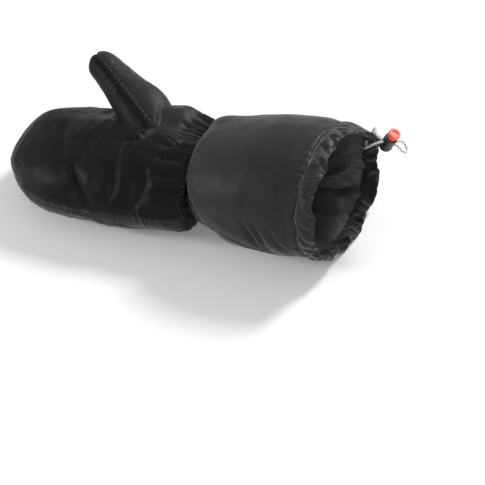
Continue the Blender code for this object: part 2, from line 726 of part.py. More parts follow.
def slot(name, length, width, low, high, place, collection):
    """A box through the lock for the two cord strands, along Y, between two heights."""
    mesh_data = bmesh.new()
    bmesh.ops.create_cube(mesh_data, size=1.0)
    size = Matrix.Diagonal((width, length, high - low, 1.0))
    middle = Matrix.Translation((0, 0, (low + high) / 2))
    bmesh.ops.transform(mesh_data, matrix=place @ middle @ size, verts=mesh_data.verts)
    return finish_object(name, mesh_data, collection)


def cord_lock(parts, cutters, black, orange):
    """The lock's barrel, open at the top, and the button that presses into it."""
    place = lock_matrix()
    slot_width = STRAND_SPACING + CORD_DIAMETER + 2 * CORD_CLEARANCE
    slot_low = LOCK_CORD_HEIGHT - CORD_DIAMETER / 2 - CORD_CLEARANCE
    slot_high = LOCK_CORD_HEIGHT + CORD_DIAMETER / 2 + CORD_CLEARANCE
    slot_length = 2 * LOCK_DIAMETER

    body = cylinder(
        "cord_lock_body", LOCK_DIAMETER / 2, 0, LOCK_LENGTH, place, parts, black, LOCK_ROUNDING
    )
    bore_radius = STEM_DIAMETER / 2 + STEM_CLEARANCE
    bore = cylinder("lock_bore", bore_radius, LOCK_FLOOR, 2 * LOCK_LENGTH, place, cutters)
    boolean(body, "DIFFERENCE", bore)
    strands = slot("lock_slot", slot_length, slot_width, slot_low, slot_high, place, cutters)
    boolean(body, "DIFFERENCE", strands)

    stem_low = LOCK_FLOOR + BUTTON_TRAVEL + BUTTON_STOP_CLEARANCE
    head_low = LOCK_LENGTH + BUTTON_TRAVEL + BUTTON_STOP_CLEARANCE
    head_high = head_low + BUTTON_HEAD_THICKNESS
    button = cylinder(
        "cord_lock_button", BUTTON_HEAD_DIAMETER / 2, head_low, head_high, place, parts, orange,
        BUTTON_ROUNDING,
    )
    stem_high = head_low + BUTTON_HEAD_THICKNESS / 2
    stem = cylinder("button_stem", STEM_DIAMETER / 2, stem_low, stem_high, place, cutters)
    boolean(button, "UNION", stem)
    travel = slot(
        "stem_slot", slot_length, slot_width, slot_low, slot_high + BUTTON_TRAVEL, place, cutters
    )
    boolean(button, "DIFFERENCE", travel)
    dish_low = head_high - BUTTON_DISH_DEPTH
    dish = cylinder(
        "button_dish", BUTTON_DISH_DIAMETER / 2, dish_low, head_high + LOCK_LENGTH, place, cutters
    )
    boolean(button, "DIFFERENCE", dish)


def smooth_points(points, spacing):
    """Points evenly spaced along a Catmull-Rom curve through these points."""
    padded = [2 * points[0] - points[1], *points, 2 * points[-1] - points[-2]]
    fine = []
    for a, b, c, d in zip(padded, padded[1:], padded[2:], padded[3:]):
        for i in range(CORD_STEPS):
            t = i / CORD_STEPS
            fine.append(
                0.5
                * (
                    2 * b
                    + (c - a) * t
                    + (2 * a - 5 * b + 4 * c - d) * t**2
                    + (3 * b - a - 3 * c + d) * t**3
                )
            )
    fine.append(points[-1])
    along = [0.0]
    for a, b in zip(fine, fine[1:]):
        along.append(along[-1] + (b - a).length)
    count = max(2, round(along[-1] / spacing))
    steps = np.linspace(0, along[-1], count + 1)
    columns = [np.interp(steps, along, [point[i] for point in fine]) for i in range(3)]
    return [Vector(point) for point in zip(*columns)]


def drawcord(parts, cord_material):
    """The elastic drawcord's free stretch, as a round tube along its route."""
    curve = bpy.data.curves.new("drawcord", "CURVE")
    curve.dimensions = "3D"
    curve.bevel_depth = CORD_DIAMETER / 2
    curve.bevel_resolution = 2
    curve.use_fill_caps = True
    route = [Vector(point) * MM for point in CORD_ROUTE]
    points = smooth_points(route, CORD_POINT_SPACING)
    spline = curve.splines.new("POLY")
    spline.points.add(len(points) - 1)
    for target, point in zip(spline.points, points):
        target.co = (*point, 1.0)
    curve.materials.append(cord_material)
    parts.objects.link(bpy.data.objects.new("drawcord", curve))


def main():
    for obj in list(bpy.data.objects):
        bpy.data.objects.remove(obj)
    parts = bpy.data.collections.new(COLLECTION)
    cutters = bpy.data.collections.new("cutters")
    for collection in (parts, cutters):
        bpy.context.scene.collection.children.link(collection)

    made = {name: surface_material(name, *look) for name, look in FINISHES.items()}
    fabric = made["shell_fabric"]
    hollow = hand_shell(parts, cutters, fabric)
    thumb_panels(parts, cutters, fabric, hollow)
    wrist_band(parts, fabric)
    gauntlet(parts, cutters, fabric)
    cuff_lining(parts, made["lining_fabric"])
    hem_casing(parts, fabric)
    cord_lock(parts, cutters, made["lock_plastic"], made["button_plastic"])
    drawcord(parts, made["cord_braid"])


main()
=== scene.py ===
"""Looks of the down mitten: stuffed nylon, gathered wrist, puffed gauntlet and drawcord hem."""

import math

import bmesh
import bpy
import numpy as np
from bpy.props import FloatProperty, FloatVectorProperty, IntProperty, PointerProperty
from mathutils import Matrix, Vector, noise


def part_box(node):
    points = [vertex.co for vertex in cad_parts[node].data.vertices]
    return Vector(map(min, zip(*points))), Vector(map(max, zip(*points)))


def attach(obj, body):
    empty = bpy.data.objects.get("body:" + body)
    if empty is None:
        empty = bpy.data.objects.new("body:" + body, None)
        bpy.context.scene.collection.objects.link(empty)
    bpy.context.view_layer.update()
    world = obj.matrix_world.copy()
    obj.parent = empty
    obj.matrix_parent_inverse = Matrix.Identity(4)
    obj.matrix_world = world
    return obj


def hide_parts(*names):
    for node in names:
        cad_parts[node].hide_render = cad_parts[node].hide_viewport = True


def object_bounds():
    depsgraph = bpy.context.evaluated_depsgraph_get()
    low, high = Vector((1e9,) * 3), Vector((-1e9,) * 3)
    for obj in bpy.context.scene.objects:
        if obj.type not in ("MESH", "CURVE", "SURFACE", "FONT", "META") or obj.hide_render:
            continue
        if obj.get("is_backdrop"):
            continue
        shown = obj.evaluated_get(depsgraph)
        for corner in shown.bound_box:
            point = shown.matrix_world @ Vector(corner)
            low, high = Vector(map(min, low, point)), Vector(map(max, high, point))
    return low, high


bl_info = {
    "name": "Down Mitten",
    "version": (1, 0, 0),
    "blender": (4, 5, 0),
    "location": "3D View > Sidebar > Mitten",
    "description": "Builds a stuffed down mitten with a gathered wrist and a drawcord hem",
    "category": "Add Mesh",
}

MM = 0.001
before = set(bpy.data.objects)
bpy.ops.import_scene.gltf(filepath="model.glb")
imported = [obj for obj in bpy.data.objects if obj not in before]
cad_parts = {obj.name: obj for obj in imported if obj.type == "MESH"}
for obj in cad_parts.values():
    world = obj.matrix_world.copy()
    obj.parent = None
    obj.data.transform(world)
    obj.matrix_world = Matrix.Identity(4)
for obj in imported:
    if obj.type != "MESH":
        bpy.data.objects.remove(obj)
CAD_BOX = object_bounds()
BODY = "mitten"
# The outer cloth, the lining and the plainer cloth of the palm, in the order of their slots
CLOTHS = ("shell nylon", "lining nylon", "palm nylon")
# The simulation's length in frames, and how many rows and columns one step of its grid takes
CLOTH_FRAMES = 14
CLOTH_ROWS = 3
CLOTH_COLS = 6
# The side where the heel of the hand swells out, in degrees from +Y over the top
NEAR_SIDE = 165

# The photograph's camera: azimuth, height and roll in degrees, the distance in metres, the
# focal length in pixels, and where its target lies in the picture, from the top left
PHOTO_SIZE = 485
CAMERA_ANGLES = (36.235, 36.342, 13.122)
CAMERA_DISTANCE = 2.7359
CAMERA_FOCAL = 2607.8
CAMERA_TARGET = Vector((0, 0, 0.045))
TARGET_IN_PHOTO = (188.178, 171.495)
SENSOR_WIDTH = 36
# Each light's name, place and size, and the point that they all shine at
LIGHTS = (
    ("key", (1.1, -1.5, 1.0), 0.4),
    ("back", (0.7, 1.3, 1.35), 0.6),
    ("side", (-1.5, -0.75, 0.75), 0.4),
)
LIGHT_TARGET = (0.02, 0, 0.05)
FLOOR_REACH = 6.0
FLOOR_DEPTH = 0.4 * MM

# Sizes of the part's source that the looks follow
HAND_LENGTH = 232 * MM
WRIST_BAND_WIDTH = 9 * MM
GAUNTLET_LENGTH = 146 * MM
HEM_WIDTH = 20 * MM
SPOUT_REACH = 22 * MM
HAND_HALF_WIDTH = 78 * MM
HAND_HEIGHT = 88 * MM
HAND_SEAM_HEIGHT = 36 * MM
HAND_CAP_LENGTH = 92 * MM
HAND_CAP_ROUNDING = 62 * MM
HAND_WALL = 22 * MM
GAUNTLET_HALF_WIDTH = 80 * MM
GAUNTLET_HEIGHT = 126 * MM
GAUNTLET_MID_HEIGHT = 59 * MM
GAUNTLET_WALL = 16 * MM
FLOOR_PRESS = 8 * MM
HEM_THICKNESS = 3.4 * MM
WRIST_BAND_WAIST = 3.0 * MM
THUMB_BASE = (0.2155, 26 * MM, 56 * MM)
THUMB_TIP = (0.681, 84 * MM, 118 * MM)
THUMB_RADIUS = 31 * MM
THUMB_WALL = 8 * MM
THUMB_SEAM_NORMAL = (0.53, 0.74, 0.41)
THUMB_BEND = 1 * MM
THUMB_CAP_SHARE = 0.12
SPOUT_ANGLE = math.radians(33)
SPOUT_HALF_ANGLE = math.radians(34)
SPOUT_DROP = 11 * MM
SECTION_EXPONENT = 2.2
TIP_X = -(HAND_LENGTH + WRIST_BAND_WIDTH + GAUNTLET_LENGTH + HEM_WIDTH + SPOUT_REACH) / 2
BAND_X = TIP_X + HAND_LENGTH
GAUNTLET_X = BAND_X + WRIST_BAND_WIDTH
STITCH_X = GAUNTLET_X + GAUNTLET_LENGTH
MIDDLE_Y = sum(corner[1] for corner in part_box("gauntlet")) / 2

HAND_COLUMNS = ("along", "half_width", "shift", "top", "mid", "press")
HAND_SECTIONS = (
    (0.00, 0.82, -0.03, 0.92, 1.22, -0.80),
    (0.06, 0.88, -0.03, 0.97, 1.15, -0.10),
    (0.16, 0.94, -0.02, 1.00, 1.07, 0.60),
    (0.32, 0.98, -0.01, 1.00, 1.01, 1.00),
    (0.55, 0.99, 0.02, 0.96, 1.00, 1.00),
    (0.78, 0.97, 0.08, 0.87, 0.97, 0.90),
    (1.00, 0.94, 0.20, 0.78, 0.94, 0.60),
)
GAUNTLET_COLUMNS = ("along", "half_width", "top", "mid", "press", "wall")
GAUNTLET_SECTIONS = (
    (0.00, 0.68, 0.64, 0.80, -1.60, 0.50),
    (0.03, 0.75, 0.73, 0.86, -1.00, 0.72),
    (0.09, 0.82, 0.80, 0.92, -0.30, 0.92),
    (0.20, 0.89, 0.87, 0.97, 0.50, 1.00),
    (0.40, 0.96, 0.94, 1.00, 1.00, 1.00),
    (0.62, 1.00, 0.99, 1.00, 1.00, 0.90),
    (0.82, 1.01, 1.00, 1.00, 0.70, 0.70),
    (1.00, 0.96, 0.97, 0.98, 0.00, 0.34),
)
THUMB_COLUMNS = ("along", "across", "deep")
THUMB_SECTIONS = (
    (0.00, 1.10, 0.90),
    (0.30, 0.97, 0.86),
    (0.50, 0.80, 0.76),
    (0.75, 0.58, 0.62),
    (1.00, 0.40, 0.46),
)

# The cord's route in mm, as in the part's source
CORD_ROUTE = (
    (184.5, 62.4, 75.0), (185.2, 55.7, 74.0), (188.5, 48.2, 77.2), (193.7, 41.1, 83.1),
    (200.2, 35.1, 90.0), (207.1, 31.4, 96.4), (213.8, 30.7, 100.8), (219.4, 34.1, 101.6),
    (222.6, 36.5, 99.2), (225.6, 38.8, 97.0), (228.8, 41.1, 94.7), (232.3, 41.6, 91.3),
    (235.5, 42.0, 86.6), (237.0, 45.5, 82.4), (236.0, 51.1, 81.8), (233.0, 54.1, 85.6),
    (230.7, 52.3, 90.5), (229.5, 47.8, 93.6), (227.6, 43.7, 95.6), (224.4, 41.3, 98.0),
    (221.4, 39.1, 100.2), (218.2, 36.7, 102.5), (214.1, 35.9, 105.9), (210.6, 39.0, 107.5),
    (207.7, 43.9, 107.5), (205.1, 48.4, 105.6), (202.6, 50.5, 102.0), (200.2, 48.0, 96.7),
)
CORD_POINT_SPACING = 5.72 * MM
LOCK_AXES = (
    (0.400698, -0.857775, -0.321968),
    (0.692521, 0.513636, -0.506550),
    (0.59988, -0.019996, 0.79984),
)
LOCK_PLACE = (0.217501, 0.039116, 0.090603)
LOCK_CORD_HEIGHT = 10 * MM

# The arc in mm round the thumb's base, where the palm's plain cloth ends in a seam
PALM_ARC = (
    (-72, -18, 86), (-60, -15, 87), (-48, -10, 88), (-39, 4, 88), (-31, 9, 88), (-20, 7, 88),
    (-8, 1, 88), (4, -5, 87), (17, -9, 83),
)
# Folds seen in the cloth, each a depth and a width in mm, the depth negative where the cloth
# stands proud, and the points that it runs through
HAND_FOLDS = (
    (3.2, 3.0, *PALM_ARC[1:]),
    (
        5.0, 3.6, (-66, -14, 87), (-59, -27, 84), (-56, -41, 80), (-51, -58, 74), (-50, -70, 66),
        (-53, -77, 56),
    ),
    (-2.4, 5.0, (-58, -20, 86), (-49, -38, 82), (-43, -57, 75), (-42, -70, 66)),
    (3.0, 5.5, (-20, -46, 82), (-14, -60, 74), (-14, -68, 68), (-18, -75, 60), (-26, -80, 48)),
    (-1.4, 5.0, (-10, -48, 80), (-4, -60, 73), (-3, -69, 66), (-6, -75, 58)),
    (3.6, 4.2, (-103, -55, 74), (-95, -66, 68), (-87, -74, 60), (-79, -80, 49), (-75, -82, 39)),
    (1.6, 3.0, (-82, -82, 45), (-86, -83, 37), (-93, -82, 31)),
    (-1.0, 3.0, (-76, -82, 46), (-79, -83, 36)),
    (4.0, 4.6, (14, -2, 84), (-2, -8, 87), (-20, -12, 88)),
    (3.6, 4.2, (17, -23, 81), (2, -28, 84), (-14, -31, 84)),
    (3.4, 4.2, (18, -38, 76), (6, -46, 78), (-10, -52, 78)),
    (3.0, 4.0, (18, -55, 66), (4, -62, 70), (-8, -66, 68)),
    (3.4, 4.2, (16, 20, 80), (0, 24, 84), (-14, 26, 84)),
    (2.0, 4.0, (18, -66, 50), (6, -74, 48), (-8, -78, 44)),
    (2.6, 7.0, (-150, 6, 80), (-135, -22, 80), (-118, -50, 73)),
    (1.4, 8.0, (-175, 30, 70), (-165, 5, 72), (-150, -20, 74)),
)
THUMB_FOLDS = (
    (2.6, 2.2, (-38, 39, 93), (-36, 25, 90), (-35, 15, 86)),
    (2.0, 2.0, (-46, 41, 96), (-42, 27, 92), (-40, 16, 88)),
)
GAUNTLET_FOLDS = (
    (2.6, 3.4, (112, -84, 66), (117, -85, 52), (123, -80, 32)),
    (-1.3, 3.2, (118, -85, 66), (123, -85, 50), (128, -79, 32)),
    (2.4, 3.2, (124, -86, 68), (129, -86, 48), (131, -78, 24)),
    (-1.2, 3.2, (130, -86, 66), (135, -85, 46)),
    (2.4, 3.0, (141, -86, 64), (147, -86, 50), (151, -83, 36)),
    (-1.1, 3.0, (147, -86, 62), (152, -85, 46)),
    (0.9, 5.0, (117, -77, 92), (115, -80, 83), (113, -82, 74)),
    (1.3, 7.0, (60, -74, 70), (80, -80, 62), (100, -84, 62)),
)
GAUNTLET_SEAM = (
    (30, -62, 50), (48, -70, 43), (71, -76, 38), (88, -78, 33), (104, -77, 27), (124, -73, 19),
    (146, -70, 14), (172, -68, 16),
)
# Places where the cloth stands out from the plain form, or in from it: an amount, a reach and
# the middle, in mm
HAND_SWELLS = (
    (4.0, 26, -196, 30, 60),
    (-3.0, 26, -148, 45, 72),
    (-3.5, 26, -120, 42, 78),
    (5.0, 14, 8, 50, 68),
    (9.0, 18, -12, 54, 72),
    (13.0, 18, -34, 55, 74),
    (9.0, 15, -52, 50, 84),
    (9.0, 14, -24, 36, 79),
    (4.0, 20, -6, -70, 40),
    (3.5, 30, -205, -25, 42),
    (-2.5, 30, -25, -80, 26),
)
THUMB_SWELLS = (
    (3.0, 13, -58, 64, 100),
    (-7.0, 14, -30, 46, 78),
    (-6.0, 12, -25, 37, 85),
    (3.5, 14, -136, 62, 110),
    (2.5, 18, -118, 58, 96),
)
GAUNTLET_SWELLS = (
    (6.5, 20, 34, 34, 92),
    (2.0, 16, 34, -10, 96),
    (-2.5, 42, 100, 26, 122),
    (-8.0, 24, 40, -66, 26),
    (-3.0, 20, 38, -66, 60),
)
# The lining's folds: negative depths stand into the hollow, positive ones are the creases
LINING_FOLDS = (
    (-4.5, 5.0, (40, 50, 46), (100, 62, 46), (135, 60, 46), (150, 62, 53), (170, 62, 64)),
    (3.0, 4.0, (60, 50, 34), (120, 58, 34), (150, 56, 40), (172, 60, 50)),
    (-4.5, 5.0, (60, 46, 22), (120, 48, 22), (145, 52, 29), (172, 58, 44)),
    (3.0, 4.0, (70, 36, 14), (130, 40, 16), (155, 44, 20), (172, 52, 30)),
    (-5.0, 5.0, (60, 20, 8), (110, 26, 10), (136, 34, 14), (158, 33, 13), (172, 38, 16)),
    (3.0, 4.0, (90, 14, 6), (140, 20, 8), (172, 24, 9)),
    (-4.5, 5.0, (60, -12, 7), (120, -8, 8), (145, -4, 8), (172, -10, 8)),
    (3.0, 4.0, (80, -28, 8), (140, -26, 8), (172, -30, 9)),
    (-4.0, 5.0, (60, -40, 14), (130, -46, 12), (172, -44, 12)),
    (-4.0, 5.0, (80, 44, 88), (130, 52, 92), (172, 46, 98)),
    (-4.0, 5.0, (70, 4, 100), (130, 10, 108), (172, 0, 112)),
    (-3.5, 5.0, (60, -40, 88), (130, -44, 96), (172, -52, 94)),
    (-3.5, 5.0, (60, -58, 60), (130, -68, 62), (172, -70, 56)),
)


def column(table, names, name, at):
    """A table's column at the shares `at`, by a monotone cubic through its rows."""
    x = np.array([row[0] for row in table], float)
    y = np.array([row[names.index(name)] for row in table], float)
    step = np.diff(x)
    rise = np.diff(y) / step
    slope = np.zeros(len(x))
    slope[0], slope[-1] = rise[0], rise[-1]
    same = rise[1:] * rise[:-1] > 0
    slope[1:-1][same] = 2 * rise[1:][same] * rise[:-1][same] / (rise[1:] + rise[:-1])[same]
    at = np.clip(at, x[0], x[-1])
    k = np.clip(np.searchsorted(x, at, side="right") - 1, 0, len(x) - 2)
    u = (at - x[k]) / step[k]
    value = (1 + 2 * u) * (1 - u) ** 2 * y[k] + u**2 * (3 - 2 * u) * y[k + 1]
    return value + step[k] * (u * (1 - u) ** 2 * slope[k] - u**2 * (1 - u) * slope[k + 1])


def columns(table, names, at):
    """All of a table's columns after the first, at the shares `at`."""
    return [column(table, names, name, at) for name in names[1:]]


def rounding(share, exponent=2.0):
    """How far a rounded end has opened at these shares of its length from the tip: 0 to 1."""
    left = np.clip(1 - np.minimum(1.0, share), 0, 1)
    return np.maximum(0, 1 - left**exponent) ** (1 / exponent)


def round_section(turn):
    """Across and up of a slightly squared circle at these angles from +Y over the top."""
    power = 2 / SECTION_EXPONENT
    c, s = np.cos(turn), np.sin(turn)
    return np.sign(c) * np.abs(c) ** power, np.sign(s) * np.abs(s) ** power


def angles(count):
    return 2 * math.pi * np.arange(count) / count


def tube(x, half_width, shift, top, mid, bottom, floor, turn):
    """A grid of points, one row for each section across X and one column for each angle."""
    across, up = round_section(turn)
    y = shift[:, None] + half_width[:, None] * across + MIDDLE_Y
    lift = np.where(up > 0, (top - mid)[:, None], (mid - bottom)[:, None])
    z = np.maximum(mid[:, None] + lift * up, floor)
    return np.stack([np.broadcast_to(x[:, None], y.shape), y, z], axis=2)


def hand_surface(along, turn, inset=0.0):
    """The hand's outer form, or the form `inset` under it."""
    half_width, shift, top, mid, press = columns(HAND_SECTIONS, HAND_COLUMNS, along)
    top, mid = top * HAND_HEIGHT, mid * HAND_SEAM_HEIGHT
    across = rounding((1 - along) * HAND_LENGTH / HAND_CAP_LENGTH, SECTION_EXPONENT)
    through = rounding((1 - along) * HAND_LENGTH / HAND_CAP_ROUNDING)
    return tube(
        BAND_X - along * HAND_LENGTH,
        np.maximum(half_width * HAND_HALF_WIDTH * across - inset, 0),
        shift * HAND_HALF_WIDTH,
        mid + np.maximum((top - mid) * through - inset, 0),
        mid,
        mid - np.maximum((mid + press * FLOOR_PRESS) * through - inset, 0),
        inset,
        turn,
    )


def gauntlet_surface(along, turn, inset=0.0):
    """The gauntlet's outer form, or the form `inset` under it."""
    half_width, top, mid, press, _ = columns(GAUNTLET_SECTIONS, GAUNTLET_COLUMNS, along)
    inset = np.broadcast_to(inset, along.shape)
    return tube(
        GAUNTLET_X + along * GAUNTLET_LENGTH,
        half_width * GAUNTLET_HALF_WIDTH - inset,
        np.zeros_like(along),
        top * GAUNTLET_HEIGHT - inset,
        mid * GAUNTLET_MID_HEIGHT,
        -press * FLOOR_PRESS + inset,
        inset[:, None],
        turn,
    )


def gauntlet_wall(along):
    """The gauntlet's thickness, which thins to the hem's at its far end."""
    wall = GAUNTLET_WALL * column(GAUNTLET_SECTIONS, GAUNTLET_COLUMNS, "wall", along)
    near_hem = np.clip((along - 0.88) / 0.12, 0, 1) ** 1.5
    return wall * (1 - near_hem) + 2.2 * MM * near_hem


def thumb_surface(shares, turn, inset=0.0, end=1.0):
    """The thumb's form, made smaller by `inset` and closing towards the share `end`."""
    base, tip = (
        np.array([BAND_X - share * HAND_LENGTH, aside + MIDDLE_Y, high])
        for share, aside, high in (THUMB_BASE, THUMB_TIP)
    )
    axis = (tip - base) / np.linalg.norm(tip - base)
    across = np.array(THUMB_SEAM_NORMAL)
    across = across - across @ axis * axis
    across /= np.linalg.norm(across)
    deep = np.cross(axis, across)
    wide, thick = columns(THUMB_SECTIONS, THUMB_COLUMNS, shares)
    cap = rounding((end - shares) / THUMB_CAP_SHARE, 2.4)
    wide = ((wide * THUMB_RADIUS - inset) * cap)[:, None, None] * np.outer(np.cos(turn), across)
    thick = ((thick * THUMB_RADIUS - inset) * cap)[:, None, None] * np.outer(np.sin(turn), deep)
    bow = THUMB_BEND * np.sin(math.pi * np.clip(shares, 0, 1))
    middle = base + np.outer(shares, tip - base) + np.outer(bow, across)
    return middle[:, None] + wide + thick, middle


def spout_share(turn):
    """How much the hem is drawn out at each angle: 1 at the spout's middle, 0 away from it."""
    away = np.abs(np.angle(np.exp(1j * (turn - SPOUT_ANGLE)))) / SPOUT_HALF_ANGLE
    return np.cos(np.minimum(away, 1) * math.pi / 2) ** 2


def normals(grid):
    """The outward direction at each point of a grid that runs once round a form."""
    along = np.gradient(grid, axis=0)
    around = np.roll(grid, -1, axis=1) - np.roll(grid, 1, axis=1)
    made = np.cross(along, around)
    made /= np.maximum(np.linalg.norm(made, axis=2, keepdims=True), 1e-12)
    out = grid - grid.mean(axis=1, keepdims=True)
    return made if (made * out).sum() > 0 else -made


def moved_out(grid, amount, floor=0.0):
    """The grid with each point moved outwards by its amount, and kept above the floor."""
    made = grid + normals(grid) * amount[:, :, None]
    made[:, :, 2] = np.maximum(made[:, :, 2], floor)
    return made


def nearest(points, line):
    """Each point's distance to a line of points, and how far along the line that is."""
    line = np.asarray(line, float)
    flat = points.reshape(-1, 3)
    best = np.full(len(flat), np.inf)
    along = np.zeros(len(flat))
    done = 0.0
    for start, end in zip(line, line[1:]):
        step = end - start
        length = np.linalg.norm(step)
        share = np.clip((flat - start) @ step / length**2, 0, 1)
        away = np.linalg.norm(flat - start - share[:, None] * step, axis=1)
        closer = away < best
        best[closer] = away[closer]
        along[closer] = done + share[closer] * length
        done += length
    shape = points.shape[:2]
    return best.reshape(shape), along.reshape(shape), done


def smooth_line(points, spacing):
    """Evenly spaced points along a smooth curve through these points."""
    points = [np.array(point, float) for point in points]
    padded = [2 * points[0] - points[1], *points, 2 * points[-1] - points[-2]]
    fine = []
    for a, b, c, d in zip(padded, padded[1:], padded[2:], padded[3:]):
        for i in range(24):
            t = i / 24
            square, cube = 2 * a - 5 * b + 4 * c - d, 3 * b - a - 3 * c + d
            fine.append(0.5 * (2 * b + (c - a) * t + square * t**2 + cube * t**3))
    fine = np.array([*fine, points[-1]])
    along = np.concatenate([[0], np.cumsum(np.linalg.norm(np.diff(fine, axis=0), axis=1))])
    steps = np.linspace(0, along[-1], max(2, round(along[-1] / spacing)) + 1)
    return np.stack([np.interp(steps, along, fine[:, i]) for i in range(3)], axis=1)


def faded(away, reach, power=2):
    """How strongly something is felt at this distance: 1 at 0, and little beyond its reach."""
    return np.exp(-((away / reach) ** power))


def facing(turn, degrees):
    """1 on the side at this angle round a form, and 0 from a quarter turn away."""
    return np.clip(np.cos(turn - math.radians(degrees)), 0, 1)


def folds(grid, table):
    """How far the folds of a table move each point of the grid."""
    moved = np.zeros(grid.shape[:2])
    for depth, width, *points in table:
        line = smooth_line(np.array(points) * MM, 4 * MM)
        away, along, length = nearest(grid, line)
        end = np.clip(np.minimum(along, length - along) / (0.3 * length), 0, 1)
        fade = 0.35 + 0.65 * end * (2 - end)
        moved -= 1.3 * depth * MM * fade * faded(away, width * MM, 1.2)
    return moved


def swells(grid, table):
    """How far the swellings of a table move each point of the grid."""
    moved = np.zeros(grid.shape[:2])
    for amount, reach, *middle in table:
        away = np.linalg.norm(grid - np.array(middle) * MM, axis=2)
        moved += amount * MM * faded(away, reach * MM)
    return moved


def wander(value, seed):
    """A smooth uneven wave of about -1 to 1 that never quite repeats."""
    total = np.sin(1.0 * value + seed) + 0.7 * np.sin(2.3 * value + 1.7 * seed + 1)
    return (total + 0.5 * np.sin(4.1 * value + 2.9 * seed + 2)) / 2.0


def pleats(turn, count, seed):
    """Round ridges with sharp valleys between them, uneven in height: about -1 to 1."""
    phase = turn * count / 2 + 1.3 * np.sin(3 * turn + seed) + 0.8 * np.sin(7 * turn + 2 * seed)
    uneven = 0.75 + 0.35 * np.sin(5 * turn + seed) * np.sin(11 * turn + 3 * seed)
    return (2 * np.abs(np.sin(phase)) ** 0.75 - 1.2) * uneven


def gathers(turn, away, depth, count):
    """Cloth drawn together along an edge: fine pleats there, and fewer and wider ones further off.

    `away` and `depth` may be given for each angle, each row or each point.
    """
    fine = pleats(turn, count, 1.0) * faded(away, 5 * MM) * 0.7
    some = pleats(turn, count // 2, 2.3) * faded(away, 9 * MM) * 1.1
    few = pleats(turn, count // 4 + 1, 4.1) * faded(away, 18 * MM) * 0.5
    return (fine + some + few) * depth


def puckers(form, line, depth, reach, spacing, seed):
    """Small wrinkles that run out of a seam's line over a form, and the seam's own groove."""
    away, along, _ = nearest(form, line)
    phase = math.pi * along / spacing + 1.5 * wander(along / (2.3 * spacing), seed)
    wrinkle = 2 * np.abs(np.sin(phase)) ** 0.8 - 1.2
    reach_here = reach * (0.7 + 0.5 * wander(along / (1.7 * spacing), seed + 3))
    strength = 0.6 + 0.4 * wander(along / (3.1 * spacing), seed + 5)
    groove = faded(away, 0.28 * reach, 1.2)
    wrinkle = wrinkle * strength * faded(away, reach_here)
    return depth * (wrinkle * (1 - 0.6 * groove) - 1.5 * groove)


def lumps(grid, size, seed, stretch=(1, 1, 1)):
    """Soft uneven swellings of about this size over the points, from -1 to 1."""
    scaled = grid.reshape(-1, 3) / size * np.array(stretch) + seed * 7.3
    return np.array([noise.noise(Vector(point)) for point in scaled]).reshape(grid.shape[:2])


def creases(grid, size, seed, stretch=(1, 1, 1)):
    """Thin raised lines that wander over the cloth, from 0 to 1."""
    return np.clip(1 - 5 * np.abs(lumps(grid, size, seed, stretch)), 0, 1) ** 2


def blurred(field, passes):
    """A field on a grid, softened between its neighbours along and around."""
    for _ in range(passes):
        field = (np.roll(field, 1, axis=1) + 2 * field + np.roll(field, -1, axis=1)) / 4
        field[1:-1] = (field[:-2] + 2 * field[1:-1] + field[2:]) / 4
    return field


def add_mesh(name, points, faces, material_names, face_slots=None, corners=None):
    """A mesh object at the origin from points and faces, with a UV map where corners are given."""
    mesh = bpy.data.meshes.new(name)
    mesh.from_pydata([tuple(point) for point in points], [], faces)
    if corners is not None:
        layer = mesh.uv_layers.new(name="UVMap")
        layer.data.foreach_set("uv", np.asarray(corners, np.float32).ravel())
    if face_slots is not None:
        mesh.polygons.foreach_set("material_index", np.asarray(face_slots, np.int32))
    for material in material_names:
        mesh.materials.append(finish_of(material))
    mesh.update()
    mesh.shade_smooth()
    obj = bpy.data.objects.new(name, mesh)
    bpy.context.scene.collection.objects.link(obj)
    return obj


def grid_faces(rows, cols):
    """Four-sided faces between the rows of a grid that runs once round a form."""
    r, c = np.meshgrid(np.arange(rows - 1), np.arange(cols), indexing="ij")
    n = (c + 1) % cols
    quads = np.stack([r * cols + c, r * cols + n, (r + 1) * cols + n, (r + 1) * cols + c], axis=2)
    return quads.reshape(-1, 4)


def grid_corners(u, v):
    """UVs for the corners of those faces, `u` for each row and `v` for each column and its end."""
    rows, cols = len(u), len(v) - 1
    r, c = np.meshgrid(np.arange(rows - 1), np.arange(cols), indexing="ij")
    pairs = ((r, c), (r, c + 1), (r + 1, c + 1), (r + 1, c))
    return np.stack([np.stack([u[a], v[b]], axis=2) for a, b in pairs], axis=2).reshape(-1, 2)


